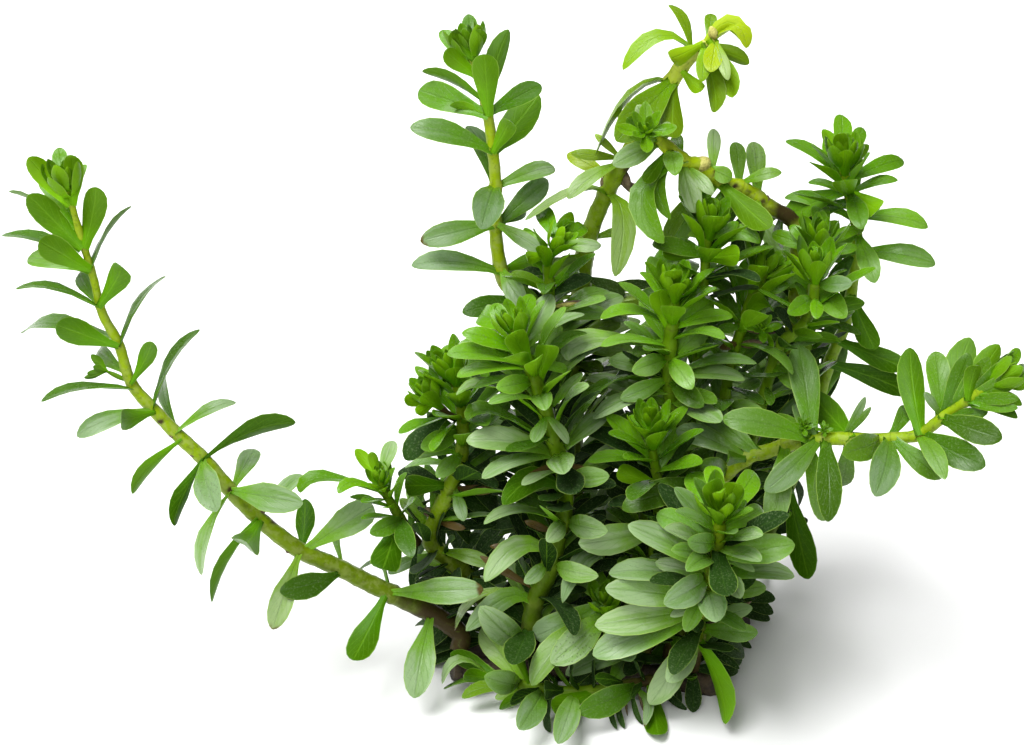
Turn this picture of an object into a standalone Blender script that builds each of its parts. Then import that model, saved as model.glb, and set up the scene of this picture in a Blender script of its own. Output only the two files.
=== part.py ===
"""A rooted clump of rotala nanjenshan: leafy shoots on old creeping stems, cut off flat underneath.

The shoots are laid out in millimetres in one upright view: across runs to the right and up runs
up the view, both measured from the foot of the clump, and back is the distance behind the foot
along +Y. The view looks down on the clump by VIEW_TILT. Every leaf row reads

    (stem point across, up,  leaf tip across, up,  width, "face and side", [bow across, up])

where the face is U for the upper side, D for the underside and E for edge-on, and the side is n
for a tip nearer than its stem, f for a farther one. The bow is the point the leaf arches through.
"""

import math

import bmesh
import bpy
from mathutils import Matrix, Vector
from mathutils.bvhtree import BVHTree

MM = 0.001

# The view that the layout is drawn in
VIEW_TILT = math.radians(30.0)
VIEW_DISTANCE = 450.0
VIEW_CENTRE_ACROSS = -15.6
VIEW_CENTRE_UP = 60.7
RIGHTWARD = Vector((1.0, 0.0, 0.0))
UPWARD = Vector((0.0, math.sin(VIEW_TILT), math.cos(VIEW_TILT)))
TOWARD = Vector((0.0, -math.cos(VIEW_TILT), math.sin(VIEW_TILT)))
VIEW_TARGET = RIGHTWARD * VIEW_CENTRE_ACROSS + UPWARD * VIEW_CENTRE_UP

# Driving dimensions of stems and leaves
STEM_SIDES = 6
LONGEST_STRETCH = 9.0
BAND_HEIGHT = 1.1
BAND_SPACING = 1.55
WHORL_REACH = 2.6
LEAVES_IN_WHORL = 5
LEAF_THICKNESS = 0.85
LEAF_FOOT_WIDTH = 1.3
TIP_EDGE = 0.02
LEAF_SLENDERNESS = 2.9
EDGE_ON_SLENDERNESS = 3.3
SLIMMEST_LEAF = 3.4
LONG_LEAF = 15.5
LONGEST_TURNED_LEAF = 17.0
SMALLEST_LEAF = 3.4
LEAF_BOW = 0.10
BOWED_OVER_SEEN = 1.04
STEEP_RISE = 0.35
STEM_TIP_SHARE = 0.45
STEM_TIP_LENGTH = 5.0
GAP = 0.35
FREE_PART = 0.34
GROUND_GAP = 0.1
ROOTSTOCK_RADIUS = 2.4
ROOTSTOCK_SIDES = 7

GREEN = (0.13, 0.26, 0.05, 1.0)
DARK_GREEN = (0.05, 0.12, 0.025, 1.0)
STEM_GREEN = (0.26, 0.34, 0.03, 1.0)
BROWN = (0.10, 0.055, 0.03, 1.0)

# The old creeping stems as (x, y, z) points of their axes
ROOTSTOCK_ARMS = [
    [(-27.5, -0.8, 2.4), (-22, 0.5, 1.6), (-10, 1.5, 1.6), (0, 0, 1.6), (10, -1.5, 1.6),
     (20, -4, 1.6), (26, -5, 1.6)],
    [(-26, 8, 1.8), (-20, 6, 1.6), (-10, 1.5, 1.6), (0, 4.5, 1.6), (8, 8.5, 1.6), (18, 11, 1.6),
     (26, 11.5, 1.6), (32, 17, 1.6)],
    [(0, 0, 1.6), (-4, 8, 1.6), (-8, 14.5, 1.6), (-3, 24, 1.6), (-1, 28, 1.6)],
    [(8, 8.5, 1.6), (14, 14, 1.6), (22, 19, 1.6), (28, 25, 1.6)],
]

# Each shoot: foot (x, y, z), stem points (across, up, back), diameters at foot and tip, leaves
SHOOTS = {
    "front_shoot": {
        "foot": (20, -4.2, 5.1),
        "stem": [(21.8, 8, -6.5), (21.7, 12.5, -9), (23, 17, -12), (24.5, 22, -15), (25.6, 26, -18),
                 (26, 30, -20), (26.4, 34.5, -21)],
        "diameters": (2.7, 2.2),
        "leaves": [
            (21, 12.7, 0.4, 4.3, 6.5, "U"), (20.5, 16, 3.1, 17.6, 5.5, "U"),
            (20, 18.3, 3.7, 21, 3.6, "Uf"), (21.8, 22.3, 7.6, 30.2, 5, "Un"),
            (27.3, 24.6, 41, 26.3, 5.5, "U"), (24, 20.3, 15.3, 14.6, 5.5, "Un"),
            (25.5, 17.5, 25.2, 10.8, 5.5, "Un"), (18.8, 8.7, 12, -5.9, 5.5, "U"),
            (21.3, 7.3, 15.8, -1, 5, "Un"), (24, 27, 19.7, 27, 4, "Un"),
            (26.4, 33, 24.5, 39.3, 4, "Dn"), (26.4, 33, 29.5, 39, 4, "Dn"),
            (26.4, 33.5, 24, 42.5, 3.5, "Uf"), (26.2, 33, 19.8, 40.6, 4.5, "Uf"),
            (26.4, 33, 33, 40.8, 4.5, "Uf"), (26.4, 34.3, 26.2, 37, 2.5, "Dn"),
            (28.5, 29, 34.7, 33.6, 3.6, "U"), (20.8, 28, 13.3, 32.6, 4.5, "U"),
            (25.8, 19, 41, 20.3, 3.2, "U"), (19.5, 13.3, 1.2, 10.2, 6, "U"),
            (25, 14, 35.3, 18, 3.6, "Uf"), (22, 21, 13, 22.7, 3, "Uf"),
            (23.3, 10, 33.6, 8.6, 4, "U"), (22.3, 7, 27.6, -9.7, 3.4, "D"),
            (23.5, 29.5, 21, 36, 3, "D"), (26.5, 31, 31.5, 35, 2, "E"),
        ],
    },
    "small_front_shoot": {
        "foot": (11, 0.8, 5.1),
        "stem": [(11.3, 15, 0), (13, 28, -1), (13.8, 36, -2), (13.6, 39, -2.5), (13, 42, -3),
                 (12.4, 46, -3.3), (12, 51, -4)],
        "diameters": (2.3, 1.7),
        "leaves": [
            (12, 50, 11, 55, 3.5, "Uf"), (12, 50, 12.1, 54, 2.8, "Dn"),
            (13, 49, 16.5, 53.4, 3, "U"), (12.2, 48.5, 7.6, 52, 1.8, "U"),
            (12.3, 38.7, 5.1, 41.2, 3.5, "D"), (14.6, 38.6, 19.6, 43.6, 3, "U"),
            (12.5, 41, 10, 44.2, 3, "Uf"), (13.8, 41.5, 17.5, 50, 3.3, "Uf"),
            (11.5, 29, -2.1, 26.3, 6, "U"), (11, 23.3, -6.4, 15.2, 3.6, "U", 2, 25.3),
            (10.5, 6, -4.9, 0.6, 4.2, "U"),
        ],
    },
    "low_front_shoot": {
        "foot": (3.6, -0.2, 5.1),
        "stem": [(3.3, 9, -3), (3, 15.5, -5)],
        "diameters": (2.2, 1.6),
        "leaves": [
            (1.6, 13.6, -7.6, 2.5, 6.3, "Un"), (1, 12, -12.2, -1.6, 4.4, "U"), (3, 15, -11.8, 7.5, 6, "Uf"),
            (3, 15, 10, 21, 4, "U"), (3, 13, 9, 7, 4.5, "Un"), (3, 14.5, -3, 21, 3.6, "Uf"),
        ],
    },
    "creeping_shoot": {
        "foot": (12, -5.2, 3.2),
        "stem": [(8, -1.6, -8.2), (2, -2.6, -10.2), (-4, -3.0, -11.4), (-10, -2.4, -10), (-16, -1.2, -7),
                 (-21, 0.8, -4.2)],
        "diameters": (2.2, 1.8),
        "leaves": [
            (-21, -0.2, -29.3, -2.6, 0.9, "E"), (-21, 1, -30, -1.4, 1.6, "U", -26, 3.6),
            (-20, 1, -27, 3.2, 2.5, "D"), (-14, 0.4, -20.7, -0.2, 5, "U"),
            (-15, -2, -25.8, -3.9, 1.5, "E"), (-9, -3.3, -14.2, -10.7, 5.3, "U"),
            (-9, -2, -18.4, -6.4, 2.6, "D"), (-3, -5.5, -6.4, -13.4, 4.8, "U"),
            (-0.5, -1, -7.7, -7.3, 4.4, "D"), (9, -2.5, -2, -7.3, 5.6, "U"),
            (9.3, -1, 10.6, -9.5, 2.2, "U", 11.8, -5.5), (-13.8, -1.5, -21.8, 9.8, 5, "U"),
            (-19, 2, -28, 4.8, 3.5, "D"), (-18, 1, -25.5, 0.2, 3, "D"),
            (4, -2, 7, 3.5, 4, "Uf"), (-3, -2.5, -1, 4, 4, "Uf"),
            (12, -2, 13.7, -12.3, 4.6, "D"), (-12, -2.5, -19, -4.5, 2, "U"),
        ],
    },
    "centre_left_shoot": {
        "foot": (-12.5, 1.6, 5.1),
        "stem": [(-12, 9, 0), (-11, 15, 0), (-8.6, 20, -0.5), (-7.2, 25, -0.5), (-6, 29, -1),
                 (-5, 34, -1), (-5, 40, -1.5), (-6.8, 46, -2), (-8.6, 52, -2.5), (-10.3, 57.5, -3),
                 (-12, 62, -3.5), (-14, 66, -4), (-15.6, 70.5, -4)],
        "diameters": (3.4, 2.0),
        "leaves": [
            (-14, 62, -15.4, 68.9, 4.4, "Dn"), (-11.5, 60.3, -8.2, 66.2, 4.3, "Dn"),
            (-11.3, 57.3, -9, 53.6, 4, "Un"), (-11, 65.5, -7.6, 76.5, 4, "Uf"),
            (-14, 69, -11.6, 76.5, 3, "Uf"), (-15.3, 69.5, -16.4, 74.8, 2.4, "Uf"),
            (-15.3, 69.5, -19.5, 74.4, 3, "U"), (-16, 68, -22.2, 72.6, 4.5, "Uf"),
            (-9.3, 66, -1.2, 72.5, 2.5, "U"), (-16.5, 64, -25.6, 68.9, 3.3, "U"),
            (-14, 61, -28.6, 64.4, 3, "U"), (-14, 66, -26.3, 66.9, 2.5, "Uf"),
            (-13.3, 60.3, -26.6, 60.2, 1.8, "U", -20, 61.8), (-12, 58.5, -18.7, 57.6, 3.6, "Un"),
            (-10, 52.8, -26.8, 56.3, 1.8, "U", -19, 58.3), (-9, 46.8, -24.8, 51.6, 1.6, "E", -19, 53),
            (-8.2, 43.8, -24.8, 47.4, 4.2, "U"), (-7.2, 56.5, 2.3, 66.3, 3, "U"),
            (-7.5, 64.5, -4, 61, 2, "Un"), (-4.5, 46.3, 3.6, 52.8, 3.3, "U"),
            (-6.3, 53, -4.2, 46.5, 2, "U"), (-6.8, 37, -17.5, 34.3, 5, "D", -11, 39.8),
            (-7.5, 32.4, -21.3, 30.5, 2.2, "U", -14, 33.4), (-4.4, 31, -8.6, 27, 3.5, "Un"),
            (-8, 25.3, -21, 18.9, 4.6, "U", -14.5, 26.2), (-9, 23.5, -13, 18.7, 3, "Un"),
            (-3, 38, 10, 46.8, 4, "U"), (-11.5, 15, -24.7, 9, 4.5, "U", -17, 15.8),
            (-8.5, 43, -21.8, 39.9, 2.3, "U"), (-6, 38.5, -16.8, 36.8, 2.5, "U"),
            (-12.3, 6, -21.7, 13.3, 6, "Un"), (-12.3, 6, -6.3, 15, 4.8, "U"),
            (-12.3, 5.5, -21.5, 5.8, 4.2, "U"), (-12, 16, -27.3, 9.2, 1.8, "U", -21.5, 16.6),
            (-5, 40, 3.5, 40, 4, "U"), (-5.5, 31, 3, 29, 4.5, "U"), (-8, 22, 1, 20, 4, "U"),
        ],
    },
    "centre_shoot": {
        "foot": (7, 8.2, 5.1),
        "stem": [(10, 25, 8), (12, 35, 8), (15, 47, 7.5), (16.3, 53, 7.5), (15.8, 60, 7),
                 (16, 66, 7), (16.8, 75, 6.5), (17.3, 78.7, 6)],
        "diameters": (3.0, 2.2),
        "leaves": [
            (16, 69.5, 13.6, 77.5, 4, "Dn"), (17, 77, 16.8, 81.2, 3.5, "Dn"),
            (17.3, 76.5, 19.8, 84, 5, "Uf"), (16.2, 73, 12, 84, 4, "D"),
            (17, 77, 16.2, 83.6, 3, "Uf"), (16.5, 73.5, 10.2, 81.3, 2.3, "U"),
            (16.7, 74.5, 21.5, 78, 1.2, "E"), (17, 72.5, 26, 77.9, 2, "U"),
            (16.8, 70.5, 24.8, 75, 4, "Uf"), (16.5, 69.3, 28.6, 72.2, 2.8, "U"),
            (16.3, 64, 23.6, 70.5, 4.5, "Uf"), (15.8, 71, 2, 71.8, 2.3, "U", 9, 73.3),
            (15.5, 66, 10.3, 70.6, 5, "Uf"), (15.5, 64.5, 8.5, 61, 4, "Un"),
            (15.7, 66.3, -4.5, 63.3, 3.5, "U", 1, 67.3), (16.2, 62.6, 20.3, 57.7, 4, "Un"),
            (16.2, 60.5, 31, 59.4, 2.8, "U"), (16.2, 59, 22.5, 54, 4, "U"),
            (15.5, 59, 6.2, 55.4, 3.5, "U"), (15.5, 58, -5.3, 47.5, 1.3, "E", 4, 59.3),
            (15.5, 56, 0.4, 51.8, 3, "U"), (14, 44, 23, 49, 4, "U"), (13, 40, 5, 46, 4, "Uf"),
            (12, 35, 20, 31, 4.5, "U"), (11, 30, 2.5, 34, 4, "Uf"), (10.5, 27, 20, 24, 4.5, "U"),
        ],
    },
    "left_shoot": {
        "foot": (-19.8, 6.2, 5.1),
        "stem": [(-20.5, 14, 10), (-25.5, 21, 11), (-31.8, 26.5, 8.5), (-31.2, 31, 8), (-29.3, 35, 8),
                 (-27.5, 39, 8), (-26, 42, 8), (-25.6, 46, 8), (-25.5, 50, 8), (-26, 55, 8),
                 (-27, 59, 8), (-28.3, 62, 8)],
        "diameters": (4.2, 2.0),
        "leaves": [
            (-27, 56, -31, 65.3, 3, "Dn"), (-27, 59, -24.3, 65.3, 2.4, "D"),
            (-28, 61, -28.5, 66.5, 3, "Uf"), (-27.5, 59.5, -23.5, 59.5, 1.6, "U"),
            (-25.5, 49, -33, 51.6, 3, "Dn"), (-26, 48, -33.7, 45.6, 4, "U"),
            (-25.5, 50, -15.7, 54.8, 3, "Uf"), (-26, 46, -36.4, 48.2, 1.4, "E"),
            (-26, 44.4, -36.5, 44, 2.3, "U"), (-26, 44.5, -30.6, 40, 3.3, "Un"),
            (-26.4, 41.5, -37.2, 42, 1.6, "Uf"), (-27.8, 39, -37.4, 38, 4.2, "D"),
            (-28.5, 37, -25.2, 31, 2.6, "U"), (-29, 34.5, -20.5, 38, 4, "U"),
            (-26.5, 41.5, -19, 46, 3.4, "Uf"), (-31.5, 25.5, -19.5, 22.2, 2.8, "Un"),
            (-26.5, 22, -36.5, 24.6, 2.2, "U"), (-24, 20, -29.5, 14.5, 3, "D"),
            (-29.5, 25, -40.5, 20.6, 2.4, "U"),
        ],
    },
    "left_side_shoot": {
        "fork": (-26.9, 51.6, 6.4),
        "stem": [(-28.6, 52.4, 5.6), (-30, 54, 5.2), (-32.3, 57, 5)],
        "diameters": (1.6, 1.3),
        "leaves": [
            (-32.3, 56.4, -32.2, 60.4, 2.6, "D"), (-32, 56, -35.2, 57.6, 1.8, "U"),
            (-31, 54.5, -37.5, 55.3, 2.5, "D"), (-30, 54.5, -34.8, 52.6, 2.2, "Dn"),
            (-30.5, 55, -29.9, 60.5, 2.5, "Uf"),
        ],
    },
    "left_low_shoot": {
        "fork": (-34.6, 26.6, 7),
        "stem": [(-36.3, 29, 6), (-38, 31.7, 5), (-40, 35, 4), (-41.7, 38, 3), (-42.3, 40.5, 2.5)],
        "diameters": (2.2, 1.5),
        "leaves": [
            (-42.6, 39.5, -46.9, 45.4, 2.6, "D"), (-42.3, 39.8, -43.8, 45, 2, "Dn"),
            (-41.8, 39.5, -39.3, 47.2, 3, "Uf"), (-42, 36.7, -50.3, 36.6, 1.8, "Un", -47, 38.9),
            (-41.4, 37, -58.3, 36.9, 1.3, "E", -53, 39.8), (-39.3, 31.3, -43.9, 28.6, 3.6, "Un"),
            (-38.7, 33.5, -37, 41, 1.8, "Uf"), (-38.4, 31, -41.8, 20.5, 6, "Dn"),
        ],
    },
    "small_left_shoot": {
        "foot": (-6.4, 16.4, 5.1),
        "stem": [(-8, 35, 14.5), (-9, 45, 14), (-8.3, 65, 14), (-8, 75, 14), (-8.3, 83.5, 14),
                 (-5.4, 87.4, 14)],
        "diameters": (2.4, 1.6),
        "leaves": [
            (-6, 86.6, -9.8, 93.6, 3.5, "Uf"), (-5.4, 87, -3.9, 92.5, 3.5, "D"),
            (-5.4, 87, -0.8, 90.4, 3, "Uf"), (-6.2, 86, 2.3, 86, 2.6, "Un"),
            (-8, 84.6, -13.3, 88.8, 2.2, "U"), (-8.3, 83.5, -13, 83.6, 2.5, "Dn"),
            (-8, 78.5, -15.8, 80.6, 2.4, "U"), (-7.6, 78, -2, 81.5, 3, "U"),
            (-8, 73, 4, 77.5, 3, "Uf"), (-8, 71, 3.6, 72.6, 3, "U"), (-8.4, 66, -15, 62, 4, "Un"),
        ],
    },
    "back_left_shoot": {
        "foot": (-9.2, 12, 5.1),
        "stem": [(-10.6, 30, 16), (-11.5, 50, 17), (-14.3, 74, 17), (-17.2, 79, 18), (-18.6, 86, 19),
                 (-18.9, 92, 20), (-18.8, 97, 21), (-19.4, 105, 22), (-21, 115, 23),
                 (-24.3, 126.5, 25)],
        "diameters": (3.2, 1.7),
        "leaves": [
            (-19, 97.3, -21.7, 89.6, 6, "Un"), (-19.3, 104.4, -10.3, 116.3, 6, "D"),
            (-19.6, 105, -36, 110, 4.3, "U"), (-19, 98, -6.6, 102, 3.6, "Uf"),
            (-19, 98.5, -24.4, 110.6, 3.6, "Uf"), (-19.7, 106, -15.8, 111.5, 3.5, "Dn"),
            (-19, 91.3, -8.3, 99.3, 4.5, "Uf"), (-18.8, 89, -34, 87, 4.7, "U"),
            (-18.7, 89.3, -9.6, 85, 3, "U"), (-18.9, 91, -12.6, 93.4, 3, "Uf"),
            (-18, 81.6, -35.8, 82.6, 4.2, "U"), (-17.8, 81.7, -9, 84.5, 2.8, "Df"),
            (-17.5, 80.2, -13.3, 74, 4, "Un"), (-15.5, 75.8, -25.5, 72.8, 4, "U"),
            (-20.9, 114.3, -21.2, 124.5, 5, "Dn"), (-21, 115, -16.6, 129.4, 4, "Df"),
            (-21.4, 114.8, -33.5, 121.3, 1.9, "D"), (-21, 113.5, -34.4, 117.3, 5.5, "U"),
            (-20.6, 111, -28, 114.3, 1.8, "D"), (-20.4, 111, -9.7, 118.3, 4, "U"),
            (-24, 124, -24.4, 132.4, 3, "Uf"), (-23.3, 121, -30, 129.4, 3.5, "Uf"),
            (-23.2, 119.5, -29.2, 125.2, 3.5, "Dn"), (-23.6, 123, -28, 129, 3, "Dn"),
            (-24, 124, -21.9, 129.4, 3, "Dn"),
        ],
    },
    "right_inner_shoot": {
        "foot": (17, 11, 5.1),
        "stem": [(20, 25, 12), (25, 45, 12), (28, 62, 13), (29.5, 67, 13), (31, 72, 13),
                 (32.5, 76, 13.5), (35.6, 81.3, 14)],
        "diameters": (3.0, 2.0),
        "leaves": [
            (33, 75.5, 34.2, 82.5, 3.8, "Dn"), (35.2, 80, 38, 84.9, 3.3, "Uf"),
            (35, 80, 32.6, 84.8, 2, "D"), (33, 77, 31, 84.5, 1.6, "E"),
            (35, 80, 40, 81.8, 1.8, "D"), (33, 76.5, 39.8, 78.4, 2, "U"),
            (31, 71, 37, 73.2, 3.5, "Dn", 33.5, 75), (30.6, 70.6, 25.7, 75.2, 2, "D"),
            (30, 69, 25.3, 69.2, 2, "U"), (29, 64, 36, 67, 4, "U"), (28.5, 62, 22, 65, 4, "Uf"),
            (27, 55, 35, 52, 4.5, "U"), (26, 50, 19, 47, 4.5, "Un"), (23, 38, 30, 33, 4.5, "U"),
        ],
    },
    "right_mid_shoot": {
        "foot": (23.4, 11.4, 5.1),
        "stem": [(28, 30, 11), (33, 50, 12), (37.5, 65, 12), (40, 68, 12), (43, 71, 12),
                 (44.5, 75, 12), (45, 79, 12), (45, 82.7, 12)],
        "diameters": (3.2, 2.0),
        "leaves": [
            (45, 78, 47.2, 86.2, 3.5, "D"), (45, 81.5, 42.8, 85.8, 1.8, "D"),
            (45, 81.5, 45.2, 86.4, 2.5, "Uf"), (44.5, 78.5, 39.5, 84.4, 2.5, "D"),
            (45, 77.8, 52.4, 78.6, 3.2, "U"), (44.2, 75.3, 39.6, 72.6, 3.5, "Un"),
            (43.5, 73, 41.2, 79, 1.8, "E"), (44.6, 76.5, 45.2, 71.5, 2.6, "Un"),
            (43.5, 71.4, 55, 74.8, 3, "D"), (40, 68, 50.3, 67, 2.2, "D"),
            (36.5, 62, 44, 58, 4.5, "U"), (34, 53, 42, 50, 4.5, "Un"), (33, 50, 25.5, 54, 4.5, "Uf"),
        ],
    },
    "right_upper_shoot": {
        "foot": (28.4, 15.6, 5.1),
        "stem": [(34, 30, 18), (39.5, 45, 19), (42.5, 60, 19.5), (44.2, 75, 20), (45.5, 83, 20),
                 (46.2, 88.3, 20)],
        "diameters": (3.0, 1.9),
        "leaves": [
            (46, 87, 45.8, 94.4, 3.8, "Uf"), (46, 87, 42, 92, 2.6, "D"),
            (45.6, 85.4, 40, 90.3, 2.4, "U"), (45.4, 84, 36.2, 88.6, 3, "U"),
            (46, 87, 49.6, 91, 4, "D"), (45.8, 86, 54, 89.6, 2.3, "U"),
            (45.5, 84, 53.6, 85.8, 2.2, "U"), (46, 86, 47.4, 90, 3, "Dn"),
            (44.8, 79, 37.5, 81, 4, "Uf"), (44.3, 76, 51, 72, 4.5, "Un"),
        ],
    },
    "centre_back_shoot": {
        "foot": (12.8, 13.4, 5.1),
        "stem": [(16, 30, 14), (20, 50, 14), (22, 70, 13.5), (23, 81, 13), (23.3, 86, 13),
                 (24.3, 91.7, 13)],
        "diameters": (2.8, 1.8),
        "leaves": [
            (24, 90, 22, 95, 2.6, "Uf"), (24.2, 90.6, 24.6, 96, 2.8, "Uf"),
            (24.2, 90, 28.2, 94.6, 2.6, "Uf"), (23.6, 87.6, 18.2, 92.4, 4, "D"),
            (24, 89, 29.8, 90.8, 2, "U"), (24, 86.5, 25, 92, 4, "Dn"),
            (23.5, 84.5, 34, 86.6, 3, "U", 29, 88.8), (23.4, 84, 30, 84.4, 4, "Dn"),
            (23.2, 84.7, 16.6, 87.6, 1.4, "E"), (23, 82.4, 14.2, 84.6, 2.5, "D"),
            (22.6, 77, 15, 75, 4, "Un"),
        ],
    },
    "back_right_shoot": {
        "foot": (27.6, 24.4, 5.1),
        "stem": [(33, 24, 26), (38.8, 36, 26.5), (43.5, 48, 27), (47.5, 61.5, 27), (49.2, 66, 27),
                 (51, 70, 27), (52, 75, 27), (53, 82, 27), (53.3, 88, 27.5), (53, 92, 28),
                 (52, 96, 28), (51, 99.5, 28), (50.8, 104.5, 28)],
        "diameters": (3.2, 2.0),
        "leaves": [
            (52.4, 96.6, 57.8, 93, 5, "Dn"), (52.8, 95, 54.3, 89.6, 4, "Un"),
            (53.3, 88, 57, 78.7, 4.2, "Un"), (51, 99, 46.6, 109.4, 2.5, "D"),
            (50.8, 103, 50.3, 112.4, 3.8, "Uf"), (51, 98.5, 39.2, 107.4, 3, "U"),
            (51.6, 97, 43.6, 99, 1.8, "U"), (51.6, 99.5, 63.1, 103.3, 3.3, "U"),
            (52, 97.6, 61.6, 99.4, 2.3, "Un"), (50.8, 103, 50, 109, 3, "Dn"),
            (50.8, 102, 54.8, 110, 3, "Uf"), (51, 101, 55.8, 106.2, 2.5, "D"),
            (52.9, 92, 38.8, 96.4, 3.5, "Uf"), (53, 91.4, 67.9, 90.2, 3.6, "U"),
            (53.3, 86, 69.4, 82.7, 4.3, "U"), (53, 84, 45, 81, 1.8, "U"),
            (53.2, 87.7, 47.6, 84.4, 2.2, "U"), (52, 75.6, 57, 65.3, 4.5, "D"),
            (52, 75.5, 44.6, 70.8, 3, "D"), (49.6, 67, 63.5, 61.6, 4.5, "D"),
            (48, 62.3, 64, 56.6, 4.5, "D"), (39.5, 38, 44, 19, 5.6, "D"),
        ],
    },
    "arched_shoot": {
        "foot": (21.6, 18.8, 5.1),
        "stem": [(28, 28, 22), (34, 42, 24), (39, 60, 24), (41.2, 75, 24), (41.5, 88, 24),
                 (40, 91.5, 24), (36.5, 93.5, 23.5), (33, 96, 23), (30, 97.8, 22.5),
                 (27, 98.5, 22), (24, 100.3, 21), (21.5, 102.4, 20.5), (19.5, 102.7, 20),
                 (17, 104.5, 19.5), (15, 106.2, 19), (10.8, 109.5, 18)],
        "diameters": (3.2, 1.8),
        "leaves": [
            (13, 107.5, 10, 114.2, 4.5, "Uf"), (11.2, 109, 5.8, 112.6, 3.5, "D"),
            (12, 108.6, 16.2, 111.4, 2.4, "Uf"), (13.4, 106.5, 4.7, 102.3, 4.2, "U"),
            (14, 106.6, 7.6, 107.4, 1.4, "E"), (15.4, 105.5, 17, 100.6, 3.7, "Un"),
            (16, 105, 10.8, 98.4, 2.8, "D"), (18.4, 103.4, 17, 108.3, 2.4, "Uf"),
            (19.5, 102.5, 15.8, 91.3, 3, "U", 13.6, 99.2), (17.5, 104, 14.6, 86.6, 4.5, "Un", 10.4, 97),
            (24.3, 100.4, 24.8, 109.7, 2.7, "Uf"), (25.5, 99.4, 18.5, 94.5, 3, "Un", 21, 99),
            (26, 98.8, 36, 89.5, 5, "D"), (29.5, 98.4, 29.2, 107.2, 3.2, "Uf"),
            (31, 97.6, 38.4, 101, 2.4, "U"), (33.3, 96.2, 32.8, 107.4, 3.8, "Uf"),
            (34.5, 95.4, 31.6, 89.4, 3, "Un"), (41.4, 84, 48, 80, 3, "Uf"),
        ],
    },
    "nodding_shoot": {
        "foot": (-3, 24.4, 5.1),
        "stem": [(-3.3, 40, 26), (-3.5, 60, 26), (-1.5, 80, 26), (-0.8, 86, 26), (1.2, 92, 26),
                 (3.3, 96.5, 26.5), (5.5, 101, 26.5), (8.5, 106, 27), (12, 112, 27), (15, 117, 27),
                 (17, 120, 27.5), (19.5, 123.3, 28), (22.5, 126, 28), (24.8, 127.4, 28)],
        "diameters": (3.5, 2.2),
        "leaves": [
            (15.8, 118.8, 5.3, 107, 6.5, "U"), (15.6, 118, 0.6, 104, 1.8, "Ef", 8.2, 116.4),
            (17.3, 119.5, 16.3, 107.5, 4.6, "Dn"), (20.5, 124.6, 6.4, 121.5, 3.2, "U", 14, 128.2),
            (21, 125, 16.1, 134.8, 2.2, "Ef"), (24, 127, 15.8, 123.2, 3.5, "Dn"),
            (24.4, 127.2, 31.6, 126, 3.2, "D", 27.6, 131), (24, 126.6, 25.7, 112.3, 3.3, "D"),
            (24.6, 127, 32, 122.6, 2.5, "Dn"), (24.6, 127, 29.3, 116, 3, "D"),
            (23.6, 126.6, 22.4, 119, 2.8, "Un"), (18, 121.4, 22.5, 117, 2.7, "D"),
            (24.4, 127.3, 24.2, 132.6, 2.4, "Uf"), (6, 102.2, -4.5, 95.5, 3, "U"),
            (4.6, 99, -4.6, 104.6, 3.2, "Uf"), (3, 96, -13.3, 91.8, 1.8, "U", -2, 97.4),
            (3.5, 97, 5.2, 80, 4.5, "Un", 6.6, 92), (-1, 84, -8, 80, 4, "Un"),
            (-0.6, 88, 7.3, 89, 2, "Uf"), (-1.6, 79, 5, 74, 4, "Uf"), (-2.6, 70, -10, 67, 4, "Uf"),
        ],
    },
}

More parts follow.
